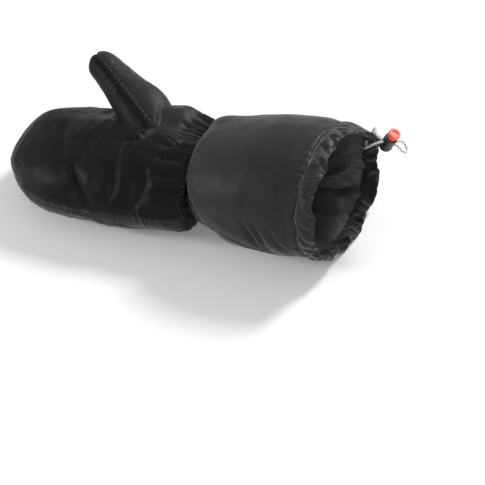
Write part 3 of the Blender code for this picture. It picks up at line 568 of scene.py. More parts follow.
def shell(name, outer, inner, girth, material_names, looped, poles=(), panel=None):
    """A stuffed or folded piece: an outer grid and an inner grid, joined at their open ends.

    `looped` joins both ends, and otherwise `poles` are the points that close the far ends.
    `panel` marks the outer points whose cloth is the third material.
    """
    cols = outer.shape[1]
    grid = np.concatenate([outer, inner[::-1]])
    if looped:
        grid = np.concatenate([grid, outer[:1]])
    rows = len(grid)
    u = np.concatenate([[0], np.cumsum(np.linalg.norm(np.diff(grid[:, 0], axis=0), axis=1))])
    v = np.linspace(0, girth, cols + 1)
    faces = grid_faces(rows, cols)
    corners = grid_corners(u, v)
    slots = np.repeat(np.where(np.arange(rows - 1) < len(outer) - 1, 0, 1), cols)
    if panel is not None:
        slots.reshape(rows - 1, cols)[: len(outer) - 1][panel[:-1]] = 2
    points = grid.reshape(-1, 3)
    faces = [tuple(face) for face in faces]
    if looped:
        last = (rows - 1) * cols
        faces = [tuple(i - last if i >= last else i for i in face) for face in faces]
        points = points[:last]
    else:
        points = np.concatenate([points, poles])
        closing = []
        for row, pole, slot in ((0, len(points) - 2, 0), (rows - 1, len(points) - 1, 1)):
            for c in range(cols):
                ends = [(row * cols + c, v[c]), (row * cols + (c + 1) % cols, v[c + 1])]
                ends = ends if slot else ends[::-1]
                faces.append((ends[0][0], ends[1][0], pole))
                closing += [(u[row], ends[0][1]), (u[row], ends[1][1]), (u[row], v[c])]
            marked = panel is not None and not slot
            ring = np.where(panel[0], 2, 0) if marked else np.full(cols, slot)
            slots = np.concatenate([slots, ring])
        corners = np.concatenate([corners, closing])
    if len(material_names) == 1:
        slots = np.zeros_like(slots)
    obj = add_mesh(name, points, faces, material_names, slots, corners)
    turned_out(obj)
    return obj


def turned_out(obj):
    """Points the faces of a closed mesh outwards."""
    made = bmesh.new()
    made.from_mesh(obj.data)
    if made.calc_volume(signed=True) < 0:
        bmesh.ops.reverse_faces(made, faces=made.faces)
    made.to_mesh(obj.data)
    made.free()


def inflated(grid, pinned, pressure, growth, most):
    """How far each point of a coarse grid of cloth moves when it is blown up as a simulation.

    `pinned` marks the points that seams hold, and no point moves further than `most`.
    """
    scene = bpy.context.scene
    faces = [tuple(face) for face in grid_faces(*grid.shape[:2])]
    cloth = bpy.data.meshes.new("cloth")
    cloth.from_pydata([tuple(point) for point in grid.reshape(-1, 3)], [], faces)
    obj = bpy.data.objects.new("cloth", cloth)
    scene.collection.objects.link(obj)
    turn = normals(grid).reshape(-1, 3)
    face = cloth.polygons[len(cloth.polygons) // 2]
    if face.normal @ Vector(turn[face.vertices[0]]) < 0:
        cloth.flip_normals()
    held = obj.vertex_groups.new(name="held")
    held.add([int(i) for i in np.flatnonzero(pinned.ravel())], 1.0, "REPLACE")
    modifier = obj.modifiers.new("cloth", "CLOTH")
    settings = modifier.settings
    settings.quality = 6
    settings.mass = 0.2
    settings.vertex_group_mass = "held"
    settings.use_pressure = True
    settings.uniform_pressure_force = pressure
    settings.shrink_min = -growth
    settings.tension_stiffness = settings.compression_stiffness = 20
    settings.shear_stiffness = 8
    settings.bending_stiffness = 0.3
    settings.effector_weights.gravity = 0
    modifier.collision_settings.use_collision = False
    modifier.point_cache.frame_end = CLOTH_FRAMES
    for step in range(1, CLOTH_FRAMES + 1):
        scene.frame_set(step)
    result = obj.evaluated_get(bpy.context.evaluated_depsgraph_get())
    points = np.empty(len(result.data.vertices) * 3)
    result.data.vertices.foreach_get("co", points)
    bpy.data.objects.remove(obj)
    bpy.data.meshes.remove(cloth)
    scene.frame_set(1)
    moved = points.reshape(grid.shape) - grid
    far = np.linalg.norm(moved, axis=2, keepdims=True)
    return moved * np.minimum(1, most / np.maximum(far, 1e-9))


def spread_over(coarse, rows, cols):
    """The coarse grid's movement carried over to the fine grid that it was thinned from."""
    row_at = np.minimum(np.arange(rows) / CLOTH_ROWS, len(coarse) - 1)
    low = np.minimum(row_at.astype(int), len(coarse) - 2)
    share = (row_at - low)[:, None, None]
    made = coarse[low] * (1 - share) + coarse[low + 1] * share
    col_at = np.arange(cols) / CLOTH_COLS
    left = col_at.astype(int) % coarse.shape[1]
    right = (left + 1) % coarse.shape[1]
    share = (col_at - col_at.astype(int))[None, :, None]
    made = made[:, left] * (1 - share) + made[:, right] * share
    return blurred(made, 9)


def settled(grid, pinned_rows, seams, pressure, growth, most):
    """A fine grid of cloth after its coarse copy has been blown up between its seams.

    Each seam is a column of the coarse copy and the row that it starts from.
    """
    coarse = grid[::CLOTH_ROWS, ::CLOTH_COLS]
    pinned = np.zeros(coarse.shape[:2], bool)
    pinned[list(pinned_rows)] = True
    for col, first in seams:
        pinned[first:, col] = True
    moved = inflated(coarse, pinned, pressure, growth, most)
    made = grid + spread_over(moved, *grid.shape[:2])
    made[:, :, 2] = np.maximum(made[:, :, 2], 0)
    return made


# Nodes, and the groups that the materials share


def fill(tree, node, values):
    """Links or sets a node's inputs, each by its name or its place."""
    for label, value in values.items():
        if isinstance(value, bpy.types.NodeSocket):
            tree.links.new(value, node.inputs[label])
        else:
            node.inputs[label].default_value = value


def add_node(tree, kind, values=None, **settings):
    """The outputs of a new node with these settings and inputs."""
    made = tree.nodes.new(kind)
    for name, value in settings.items():
        setattr(made, name, value)
    fill(tree, made, values or {})
    return made.outputs


def maths(tree, operation, *values):
    return add_node(tree, "ShaderNodeMath", dict(enumerate(values)), operation=operation)[0]


def ranged(tree, value, low, high, new_low=0.0, new_high=1.0, **settings):
    """A value carried from one range to another."""
    values = {"Value": value, "From Min": low, "From Max": high}
    values |= {"To Min": new_low, "To Max": new_high}
    return add_node(tree, "ShaderNodeMapRange", values, **settings)["Result"]


def mixed(tree, factor, first, second):
    """A blend of two colours, each a colour or a socket."""
    first, second = (c if isinstance(c, bpy.types.NodeSocket) else (*c, 1) for c in (first, second))
    values = {"Factor": factor, "A": first, "B": second}
    return add_node(tree, "ShaderNodeMix", values, data_type="RGBA")["Result"]


def bump(tree, height, distance, strength, normal=None):
    values = {"Height": height, "Distance": distance, "Strength": strength}
    if normal:
        values["Normal"] = normal
    return add_node(tree, "ShaderNodeBump", values)["Normal"]


def new_group(name, kind, inputs, outputs):
    """An empty node group, its inputs and the node that takes its results."""
    tree = bpy.data.node_groups.new(name, kind)
    for in_out, sockets in (("INPUT", inputs), ("OUTPUT", outputs)):
        for label, what, *value in sockets:
            what = f"NodeSocket{what}"
            socket = tree.interface.new_socket(label, in_out=in_out, socket_type=what)
            if value:
                socket.default_value = value[0]
    return tree, tree.nodes.new("NodeGroupInput").outputs, tree.nodes.new("NodeGroupOutput")


def group_of(name):
    """A node group by its name, built when it is first asked for."""
    return bpy.data.node_groups.get(name) or GROUPS[name](name)


def placed(tree, name, **values):
    """The outputs of a shared group placed in a material."""
    return add_node(tree, "ShaderNodeGroup", values, node_tree=group_of(name))


def ripstop_weave(name):
    """Woven nylon with a raised grid of thicker threads, on a UV map in metres."""
    pitches = (("Grid Pitch", "Float", 3.2 * MM), ("Thread Pitch", "Float", 0.5 * MM))
    outputs = (("Height", "Float"), ("Grid", "Float"))
    inputs = (("Vector", "Vector"), *pitches)
    tree, given, result = new_group(name, "ShaderNodeTree", inputs, outputs)
    split = add_node(tree, "ShaderNodeSeparateXYZ", {0: given["Vector"]})
    lines, threads = [], []
    for axis in ("X", "Y"):
        near = maths(tree, "PINGPONG", maths(tree, "DIVIDE", split[axis], given["Grid Pitch"]), 0.5)
        lines.append(ranged(tree, near, 0.12, 0.0, interpolation_type="SMOOTHSTEP"))
        wave = maths(tree, "DIVIDE", split[axis], given["Thread Pitch"])
        threads.append(maths(tree, "SINE", maths(tree, "MULTIPLY", wave, 2 * math.pi)))
    grid = maths(tree, "MAXIMUM", *lines)
    weave = maths(tree, "MULTIPLY", maths(tree, "MULTIPLY", *threads), 0.25)
    fill(tree, result, {"Height": maths(tree, "ADD", grid, weave), "Grid": grid})
    return tree


def cloth_crinkle(name):
    """Fine uneven creasing of thin coated cloth, on object coordinates."""
    inputs = (("Vector", "Vector"), ("Scale", "Float", 60.0))
    outputs = (("Height", "Float"), ("Mask", "Float"))
    tree, given, result = new_group(name, "ShaderNodeTree", inputs, outputs)
    soft = {"Vector": given["Vector"], "Scale": given["Scale"], "Detail": 3.0, "Roughness": 0.55}
    soft = add_node(tree, "ShaderNodeTexNoise", soft)["Fac"]
    wide = maths(tree, "MULTIPLY", given["Scale"], 0.45)
    sharp = {"Vector": given["Vector"], "Scale": wide, "Detail": 1.0, "Distortion": 0.6}
    sharp = add_node(tree, "ShaderNodeTexNoise", sharp)["Fac"]
    ridge = maths(tree, "ABSOLUTE", maths(tree, "SUBTRACT", sharp, 0.5))
    crease = maths(tree, "SUBTRACT", 1.0, maths(tree, "MULTIPLY", ridge, 9.0))
    crease = maths(tree, "MULTIPLY", maths(tree, "MAXIMUM", crease, 0.0), 0.35)
    height = maths(tree, "ADD", maths(tree, "MULTIPLY", soft, 0.7), crease)
    fill(tree, result, {"Height": height, "Mask": soft})
    return tree


# The materials


def new_material(name):
    made = bpy.data.materials.new(name)
    made.use_nodes = True
    return made, made.node_tree, made.node_tree.nodes["Principled BSDF"]


def colour_of(name):
    return tuple(getattr(bpy.context.scene.mitten_colours, name))


def tinted(colour, gain, lift=0.0):
    return tuple(min(1.0, channel * gain + lift) for channel in colour)


def nylon(name, cloth, grid_strength, specular, sheen, crinkle_scale, crinkle_depth):
    """Thin nylon cloth: a woven grid, a soft crinkle and a little sheen."""
    made, tree, shader = new_material(name)
    coords = add_node(tree, "ShaderNodeTexCoord")
    weave = placed(tree, "ripstop weave", Vector=coords["UV"])
    crinkle = placed(tree, "cloth crinkle", Vector=coords["Object"], Scale=crinkle_scale)
    colour = colour_of(cloth)
    worn = mixed(tree, ranged(tree, crinkle["Mask"], 0.35, 0.65), tinted(colour, 0.8), colour)
    raised = maths(tree, "MULTIPLY", weave["Grid"], grid_strength)
    creased = bump(tree, crinkle["Height"], crinkle_depth, 0.6)
    values = {
        "Base Color": mixed(tree, raised, worn, tinted(colour, 1.55, 0.004)),
        "Roughness": ranged(tree, crinkle["Mask"], 0.3, 0.7, 0.45, 0.57),
        "Normal": bump(tree, weave["Height"], 0.12 * MM, 0.35 * grid_strength + 0.1, creased),
        "Sheen Weight": sheen,
        "Sheen Roughness": 0.4,
        "Specular IOR Level": specular,
    }
    fill(tree, shader, values)
    made.diffuse_color = (*colour, 1)


def braid(name):
    """Round braided cord: black strands crossed by pale ones, on a UV map along the cord."""
    _, tree, shader = new_material(name)
    coords = add_node(tree, "ShaderNodeUVMap")["UV"]
    split = add_node(tree, "ShaderNodeSeparateXYZ", {0: coords})
    along = maths(tree, "MULTIPLY", split["X"], 1 / (4.4 * MM))
    around = maths(tree, "MULTIPLY", split["Y"], 3.0)
    sides = []
    for operation in ("ADD", "SUBTRACT"):
        strand = maths(tree, "FRACT", maths(tree, operation, around, along))
        sides.append(maths(tree, "PINGPONG", maths(tree, "MULTIPLY", strand, 2.0), 1.0))
    fleck = maths(tree, "MULTIPLY", *sides)
    pale = ranged(tree, fleck, 0.08, 0.16)
    values = {
        "Base Color": mixed(tree, pale, colour_of("cord_dark"), colour_of("cord_pale")),
        "Normal": bump(tree, maths(tree, "MAXIMUM", *sides), 0.3 * MM, 0.8),
        "Roughness": ranged(tree, fleck, 0.0, 1.0, 0.62, 0.48),
        "Sheen Weight": 0.1,
    }
    fill(tree, shader, values)


def plastic(name, part, rough, scale):
    """Moulded plastic with a faint texture, worn a little paler on its raised places."""
    _, tree, shader = new_material(name)
    coords = add_node(tree, "ShaderNodeTexCoord")["Object"]
    grain = placed(tree, "cloth crinkle", Vector=coords, Scale=scale)
    colour = colour_of(part)
    worn = ranged(tree, grain["Mask"], 0.4, 0.7)
    values = {
        "Base Color": mixed(tree, worn, colour, tinted(colour, 1.25, 0.01)),
        "Roughness": ranged(tree, grain["Mask"], 0.3, 0.7, rough - 0.06, rough + 0.10),
        "Normal": bump(tree, grain["Height"], 0.12 * MM, 0.35),
        "Specular IOR Level": 0.55,
    }
    fill(tree, shader, values)


def thread(name):
    """Twisted sewing thread."""
    _, tree, shader = new_material(name)
    coords = add_node(tree, "ShaderNodeTexCoord")["Object"]
    twist = {"Vector": coords, "Scale": 900.0, "Distortion": 1.5}
    twist = add_node(tree, "ShaderNodeTexWave", twist)["Fac"]
    colour = colour_of("thread")
    raised = ranged(tree, twist, 0.2, 0.8)
    values = {
        "Base Color": mixed(tree, raised, colour, tinted(colour, 1.8, 0.005)),
        "Normal": bump(tree, twist, 0.1 * MM, 0.6),
        "Roughness": 0.55,
    }
    fill(tree, shader, values)


def pale_floor(name):
    _, tree, shader = new_material(name)
    coords = add_node(tree, "ShaderNodeTexCoord")["Object"]
    grain = add_node(tree, "ShaderNodeTexNoise", {"Vector": coords, "Scale": 3.0})["Fac"]
    colour = tuple(bpy.context.scene.mitten_stage.floor_colour)
    values = {
        "Base Color": mixed(tree, ranged(tree, grain, 0.3, 0.7), tinted(colour, 0.985), colour),
        "Roughness": 0.9,
        "Specular IOR Level": 0.1,
    }
    fill(tree, shader, values)


# Each finish's builder and its values. For nylon: the colour's name, the strength of the woven
# grid, the specular level, the sheen, and the crinkle's scale and depth. For plastic: the
# colour's name, the roughness and the grain's scale.
FINISHES = {
    "shell nylon": (nylon, "fabric", 0.8, 0.20, 0.12, 70.0, 0.6 * MM),
    "palm nylon": (nylon, "palm", 0.0, 0.10, 0.04, 60.0, 0.5 * MM),
    "hem nylon": (nylon, "fabric", 0.35, 0.22, 0.30, 110.0, 0.9 * MM),
    # The lining's colour is set paler than the shell's, which paints in the light that reaches inside
    # the sleeve
    "lining nylon": (nylon, "lining", 0.0, 0.20, 0.10, 55.0, 1.2 * MM),
    "cord braid": (braid,),
    "lock plastic": (plastic, "lock", 0.30, 900.0),
    "button plastic": (plastic, "button", 0.32, 700.0),
    "thread": (thread,),
    "pale floor": (pale_floor,),
}


def finish_of(name):
    """A material by its name, made when it is first asked for."""
    if name not in bpy.data.materials:
        build, *values = FINISHES[name]
        build(name, *values)
    return bpy.data.materials[name]


# Geometry Nodes for what repeats


def beads(tree, given, result, points, sizes, segments, rings, material, rotation=None):
    """Sets small rounded pieces on points, and hands them out as real faces with a material."""
    ball = {"Segments": segments, "Rings": rings, "Radius": 0.5}
    ball = add_node(tree, "GeometryNodeMeshUVSphere", ball)["Mesh"]
    size = {axis: given[label] for axis, label in zip("XYZ", sizes)}
    size = add_node(tree, "ShaderNodeCombineXYZ", size)[0]
    shape = add_node(tree, "GeometryNodeTransform", {"Geometry": ball, "Scale": size})[0]
    spots = {"Points": points, "Instance": shape}
    if rotation:
        spots["Rotation"] = rotation
    spots = add_node(tree, "GeometryNodeInstanceOnPoints", spots)[0]
    real = add_node(tree, "GeometryNodeRealizeInstances", {0: spots})[0]
    look = {"Geometry": real, "Material": finish_of(material)}
    fill(tree, result, {"Geometry": add_node(tree, "GeometryNodeSetMaterial", look)[0]})
    return tree


def stitch_row(name):
    """Stitches laid end to end along a line, each a short rounded length of thread."""
    inputs = (
        ("Geometry", "Geometry"),
        ("Pitch", "Float", 3.6 * MM),
        ("Length", "Float", 2.6 * MM),
        ("Thread", "Float", 0.6 * MM),
        ("Seed", "Int", 4),
    )
    tree, given, result = new_group(name, "GeometryNodeTree", inputs, inputs[:1])
    line = add_node(tree, "GeometryNodeMeshToCurve", {0: given["Geometry"]})[0]
    even = {"Curve": line, "Length": given["Pitch"]}
    even = add_node(tree, "GeometryNodeResampleCurve", even, mode="LENGTH")[0]
    tangent = {"Vector": add_node(tree, "GeometryNodeInputTangent")[0]}
    turn = add_node(tree, "FunctionNodeAlignRotationToVector", tangent, axis="X")[0]
    tilt = {"Min": (0.0, -0.05, -0.09), "Max": (0.0, 0.05, 0.09), "Seed": given["Seed"]}
    tilt = add_node(tree, "FunctionNodeRandomValue", tilt, data_type="FLOAT_VECTOR")[0]
    uneven = {"Rotation": turn, "Rotate By": tilt}
    uneven = add_node(tree, "FunctionNodeRotateRotation", uneven, rotation_space="LOCAL")[0]
    return beads(tree, given, result, even, ("Length", "Thread", "Thread"), 6, 5, "thread", uneven)


def grip_ribs(name):
    """Small ribs set at equal steps round a barrel, along its own Z."""
    inputs = (
        ("Geometry", "Geometry"),
        ("Count", "Int", 28),
        ("Radius", "Float", 6.8 * MM),
        ("Height", "Float", 4 * MM),
        ("Rib", "Float", 0.7 * MM),
    )
    tree, given, result = new_group(name, "GeometryNodeTree", inputs, inputs[:1])
    circle = {"Vertices": given["Count"], "Radius": given["Radius"]}
    circle = add_node(tree, "GeometryNodeMeshCircle", circle)[0]
    return beads(tree, given, result, circle, ("Rib", "Rib", "Height"), 8, 6, "lock plastic")


GROUPS = {
    "ripstop weave": ripstop_weave,
    "cloth crinkle": cloth_crinkle,
    "stitch row": stitch_row,
    "grip ribs": grip_ribs,
}


def grown(name, points, edges, tree, values):
    """The plain mesh that a Geometry Nodes tree grows on a mesh of points and edges."""
    mesh = bpy.data.meshes.new(f"{name} line")
    mesh.from_pydata([tuple(point) for point in points], edges, [])
    host = bpy.data.objects.new(f"{name} line", mesh)
    bpy.context.scene.collection.objects.link(host)
    modifier = host.modifiers.new("nodes", "NODES")
    modifier.node_group = tree
    for item in tree.interface.items_tree:
        if item.item_type == "SOCKET" and item.in_out == "INPUT" and item.name in values:
            modifier[item.identifier] = values[item.name]
    host.update_tag()
    result = host.evaluated_get(bpy.context.evaluated_depsgraph_get())
    made = bpy.data.meshes.new_from_object(result)
    made.name = name
    host.modifiers.clear()
    bpy.data.objects.remove(host)
    bpy.data.meshes.remove(mesh)
    obj = bpy.data.objects.new(name, made)
    bpy.context.scene.collection.objects.link(obj)
    return obj


def stitches(name, line):
    """A row of stitches along a closed line of points."""
    sizes = bpy.context.scene.mitten_sizes
    values = {"Pitch": sizes.stitch_pitch, "Length": sizes.stitch_length}
    values["Thread"] = sizes.thread_diameter
    edges = [(i, (i + 1) % len(line)) for i in range(len(line))]
    obj = grown(name, line, edges, group_of("stitch row"), values)
    obj.data.shade_smooth()
    return obj


def keep(obj, slot, *nodes):
    """Rides a finished piece on the mitten and hides the nodes it replaces; its slot is not used."""
    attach(obj, BODY)
    if nodes:
        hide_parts(*nodes)


# The pieces


def make_camera():
    """The camera at the photograph's angle, rolled as the picture is."""
    azimuth, height, roll = (math.radians(angle) for angle in CAMERA_ANGLES)
    flat = math.cos(height)
    back = Vector((math.sin(azimuth) * flat, -math.cos(azimuth) * flat, math.sin(height)))
    level = Vector((math.cos(azimuth), math.sin(azimuth), 0))
    upright = back.cross(level)
    right = level * math.cos(roll) - upright * math.sin(roll)
    up = level * math.sin(roll) + upright * math.cos(roll)
    per_pixel = CAMERA_DISTANCE / CAMERA_FOCAL
    eye = CAMERA_TARGET + back * CAMERA_DISTANCE
    # The photograph's middle lies to the right of the target and below it
    across, down = ((PHOTO_SIZE / 2 - at) * per_pixel for at in TARGET_IN_PHOTO)
    aim = CAMERA_TARGET + right * across - up * down
    away = (eye - aim).normalized()
    level = up.cross(away).normalized()
    place = Matrix((level, away.cross(level), away)).transposed().to_4x4()
    data = bpy.data.cameras.new("camera")
    data.sensor_width = SENSOR_WIDTH
    data.lens = CAMERA_FOCAL / PHOTO_SIZE * SENSOR_WIDTH
    data.clip_end = 20
    camera = bpy.data.objects.new("camera", data)
    camera.matrix_world = Matrix.Translation(eye) @ place
    bpy.context.scene.collection.objects.link(camera)
    bpy.context.scene.camera = camera


def make_light(name, place, size, power):
    """A round lamp that points at the mitten's middle."""
    data = bpy.data.lights.new(name, "AREA")
    data.shape = "DISK"
    data.size = size
    data.energy = power
    lamp = bpy.data.objects.new(name, data)
    lamp.location = place
    to_lamp = Vector(LIGHT_TARGET) - Vector(place)
    lamp.rotation_euler = to_lamp.to_track_quat("-Z", "Y").to_euler()
    bpy.context.scene.collection.objects.link(lamp)


def make_stage():
    """The floor, the lights and the camera."""
    stage = bpy.context.scene.mitten_stage
    make_camera()
    mesh = bpy.data.meshes.new("floor")
    ways = ((-1, -1), (1, -1), (1, 1), (-1, 1))
    corners = [(x * FLOOR_REACH, y * FLOOR_REACH, -FLOOR_DEPTH) for x, y in ways]
    mesh.from_pydata(corners, [], [(0, 1, 2, 3)])
    mesh.materials.append(finish_of("pale floor"))
    floor = bpy.data.objects.new("floor", mesh)
    bpy.context.scene.collection.objects.link(floor)
    floor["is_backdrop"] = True
    for name, place, size in LIGHTS:
        make_light(name, place, size, getattr(stage, f"{name}_power"))
    world = bpy.data.worlds.new("studio")
    world.use_nodes = True
    background = world.node_tree.nodes["Background"]
    background.inputs["Color"].default_value = (1, 1, 1, 1)
    background.inputs["Strength"].default_value = stage.world_strength
    bpy.context.scene.world = world
    bpy.context.scene.view_settings.view_transform = "Standard"


def make_drawcord():
    """The drawcord's free stretch, as a braided tube along its route."""
    diameter = bpy.context.scene.mitten_sizes.cord_diameter
    path = smooth_line(np.array(CORD_ROUTE) * MM, CORD_POINT_SPACING)
    step = 0.8 * MM
    line = smooth_line(path, step)
    # Inside the lock the strands lie level in their slot, clear of the button's stem
    axis = np.array(LOCK_AXES[2])
    high = (line - LOCK_PLACE) @ axis
    aside = np.linalg.norm(line - LOCK_PLACE - np.outer(high, axis), axis=1)
    level_within, eased_over = 10 * MM, 5 * MM
    level = np.clip((level_within - aside) / eased_over, 0, 1)
    line -= np.outer((high - LOCK_CORD_HEIGHT) * level**2 * (3 - 2 * level), axis)
    tangent = np.gradient(line, axis=0)
    tangent /= np.linalg.norm(tangent, axis=1, keepdims=True)
    side = np.cross(tangent[0], (0.0, 0.0, 1.0))
    turn = angles(16)[:, None]
    rings = []
    for point, along in zip(line, tangent):
        side = side - side @ along * along
        side /= np.linalg.norm(side)
        other = np.cross(along, side)
        rings.append(point + diameter / 2 * (np.cos(turn) * side + np.sin(turn) * other))
    grid = np.array(rings)
    rows, cols = grid.shape[:2]
    faces = [tuple(face) for face in grid_faces(rows, cols)]
    corners = grid_corners(step * np.arange(rows), np.linspace(0, 1, cols + 1))
    faces += [tuple(range(cols))[::-1], tuple(range((rows - 1) * cols, rows * cols))]
    corners = np.concatenate([corners, np.zeros((2 * cols, 2))])
    obj = add_mesh("drawcord_braid", grid.reshape(-1, 3), faces, ["cord braid"], corners=corners)
    turned_out(obj)
    keep(obj, "cord_braid", "drawcord")


def make_cord_lock():
    """The lock's moulded finishes and the ribs round its barrel."""
    finishes = {"cord_lock_body": "lock plastic", "cord_lock_button": "button plastic"}
    for node, material in finishes.items():
        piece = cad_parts[node]
        piece.data.materials.clear()
        piece.data.materials.append(finish_of(material))
        piece.data.shade_smooth()
        piece.data.set_sharp_from_angle(angle=math.radians(35))
    values = {"Radius": 6.75 * MM, "Count": 30, "Height": 5.2 * MM, "Rib": 0.8 * MM}
    ribs = grown("lock_grip", [(0, 0, 0)], [], group_of("grip ribs"), values)
    place = Matrix(LOCK_AXES).transposed().to_4x4()
    middle_of_ribs = Matrix.Translation((0, 0, 4.4 * MM))
    ribs.data.transform(Matrix.Translation(LOCK_PLACE) @ place @ middle_of_ribs)
    ribs.data.shade_smooth()
    keep(ribs, "lock_plastic")


def make_hand():
    """The hand: a stuffed shell sewn from a palm and a back, gathered at the wrist."""
    sizes = bpy.context.scene.mitten_sizes
    cols, straight_rows, cap_rows = 504, 78, 54
    turn = angles(cols)
    cap_start = 1 - HAND_CAP_LENGTH / HAND_LENGTH
    straight = cap_start * (np.arange(straight_rows) / straight_rows) ** 1.35
    cap_share = np.arange(cap_rows) / (cap_rows + 0.3)
    cap = cap_start + (1 - cap_start) * np.sin(math.pi / 2 * cap_share)
    along = np.concatenate([straight, cap])
    away = along * HAND_LENGTH
    form = hand_surface(along, turn)
    # The cloth starts a little small and the filling blows it up between its seams
    small = moved_out(form, np.outer(-1.5 * MM * np.clip(away / (25 * MM), 0, 1), np.ones(cols)))
    seams = ((0, 12), (cols // 2 // CLOTH_COLS, 0))
    grid = settled(small, (0,), seams, 4.0, 0.004, 3.5 * MM)
    # The heel of the hand swells over the wrist band, most on its near side
    near = 4 * MM + 11 * MM * facing(turn, NEAR_SIDE) ** 0.7
    grid[:, :, 0] += faded(away - 5 * MM, 9 * MM)[:, None] * near
    # Its pleats are deepest on the thumb's side, where the gauntlet puffs back over their ends
    puffed = faded(np.degrees(turn) - 52, 48)
    beyond = np.maximum(away[:, None] - 19 * MM * puffed, 0)
    shift = gathers(turn, beyond, sizes.gather_depth * (0.3 + 1.3 * puffed), sizes.wrist_pleats)
    shift += folds(form, HAND_FOLDS) + swells(form, HAND_SWELLS)
    arc = smooth_line(np.array(PALM_ARC) * MM, 3 * MM)
    round_tip = np.concatenate([form[:, cols // 2], form[72:, 0][::-1]])
    shift += puckers(form, round_tip, 1.7 * MM, 9 * MM, 6.5 * MM, 1.0)
    shift += puckers(form, arc, 1.0 * MM, 9 * MM, 9 * MM, 2.0)
    # The cloth dips where the thumb grows out of it
    thumb, _ = thumb_surface(np.linspace(0.05, 0.6, 12), angles(8))
    distance, _, _ = nearest(form, thumb.mean(axis=1))
    shift -= 2.2 * MM * faded(distance - 27 * MM, 6 * MM)
    shift += lumps(form, 45 * MM, 1) * 1.3 * MM * sizes.fold_depth
    shift += lumps(form, 17 * MM, 2, (0.5, 1, 1)) * 0.45 * MM * sizes.fold_depth
    shift += creases(form, 34 * MM, 3, (1.3, 0.7, 0.7)) * 0.7 * MM * sizes.fold_depth
    grid = moved_out(grid, shift * np.clip((1 - along) / 0.02, 0, 1)[:, None])
    # The palm's cloth ends at its seams and at the arc round the thumb's base
    x, y = form[:, :, 0], form[:, :, 1]
    arc_side = math.radians(55)
    low = turn < arc_side
    end = np.where(low, -100 - 22 * (1 - turn / arc_side), -46) * MM
    palm = (turn[None, :] < math.pi) & ((x < end) | (y < np.interp(x, arc[:, 0], arc[:, 1])) & ~low)
    inner = hand_surface(np.linspace(0, 0.87, 26), turn, inset=HAND_WALL)
    poles = [grid[-1].mean(axis=0), inner[-1].mean(axis=0)]
    obj = shell("hand_shell", grid[::-1], inner[::-1], 400 * MM, CLOTHS, False, poles, palm[::-1])
    keep(obj, "shell_fabric", "palm_panel", "back_panel")


def make_thumb():
    """The thumb: two stuffed panels sewn along its middle and over its tip."""
    sizes = bpy.context.scene.mitten_sizes
    cols, cap_rows, end = 240, 36, 0.985
    turn = angles(cols)
    cap_start = 1 - THUMB_CAP_SHARE
    straight = np.linspace(0.0, cap_start, 84, endpoint=False)
    cap_share = np.arange(cap_rows) / (cap_rows + 0.5)
    cap = cap_start + THUMB_CAP_SHARE * np.sin(math.pi / 2 * cap_share)
    shares = np.concatenate([straight, cap]) * end
    form, _ = thumb_surface(shares, turn, end=end)
    small = moved_out(form, np.outer(-0.5 * MM * np.clip((1 - shares) / 0.2, 0, 1), np.ones(cols)))
    seam_cols = (cols // 4, 3 * cols // 4)
    seams = [(col // CLOTH_COLS, 0) for col in seam_cols]
    grid = settled(small, (0, 1, 2, 3), seams, 3.0, 0.0, 1.5 * MM)
    shift = swells(form, THUMB_SWELLS) + folds(form, THUMB_FOLDS)
    for col, seed in zip(seam_cols, (3.0, 4.0)):
        shift += puckers(form, form[:, col], 1.3 * MM, 8 * MM, 7 * MM, seed)
    shift += lumps(form, 26 * MM, 5) * 0.9 * MM * sizes.fold_depth
    shift += creases(form, 24 * MM, 6) * 0.4 * MM * sizes.fold_depth
    grid = moved_out(grid, shift)
    inner, _ = thumb_surface(np.linspace(0.0, 0.9, 20), turn, inset=THUMB_WALL)
    poles = [grid[-1].mean(axis=0), inner[-1].mean(axis=0)]
    inside = np.broadcast_to(np.cos(turn) < 0, grid.shape[:2])
    obj = shell("thumb_shell", grid[::-1], inner[::-1], 150 * MM, CLOTHS, False, poles, inside)
    keep(obj, "shell_fabric", "thumb_palm_panel", "thumb_back_panel")


def make_wrist():
    """The elastic wrist: a narrow channel of tightly gathered cloth."""
    sizes = bpy.context.scene.mitten_sizes
    cols = sizes.wrist_pleats * 10
    turn = angles(cols)
    hand_end = hand_surface(np.array([0.0]), turn)[0]
    cuff_end = gauntlet_surface(np.array([0.0]), turn)[0]
    share = np.linspace(0, 1, 15)
    grid = hand_end * (1 - share[:, None, None]) + cuff_end * share[:, None, None]
    grid[:, :, 0] = (BAND_X - 1.5 * MM + share * (WRIST_BAND_WIDTH + 3 * MM))[:, None]
    waist = -WRIST_BAND_WAIST * np.sin(math.pi * share)[:, None] * (1 + facing(turn, NEAR_SIDE))
    ridge = pleats(turn, sizes.wrist_pleats, 1.0)
    skew = pleats(turn + 0.02, sizes.wrist_pleats, 1.0)
    depth = sizes.gather_depth * 0.55
    shift = waist + depth * (ridge * (1 - share[:, None]) + skew * share[:, None]) - 1.2 * MM
    outer = moved_out(grid, shift)
    inner = moved_out(grid[::4], np.full((4, cols), -6 * MM))
    obj = shell("wrist_gathers", outer, inner, 380 * MM, CLOTHS[:2], True)
    keep(obj, "shell_fabric", "wrist_band")


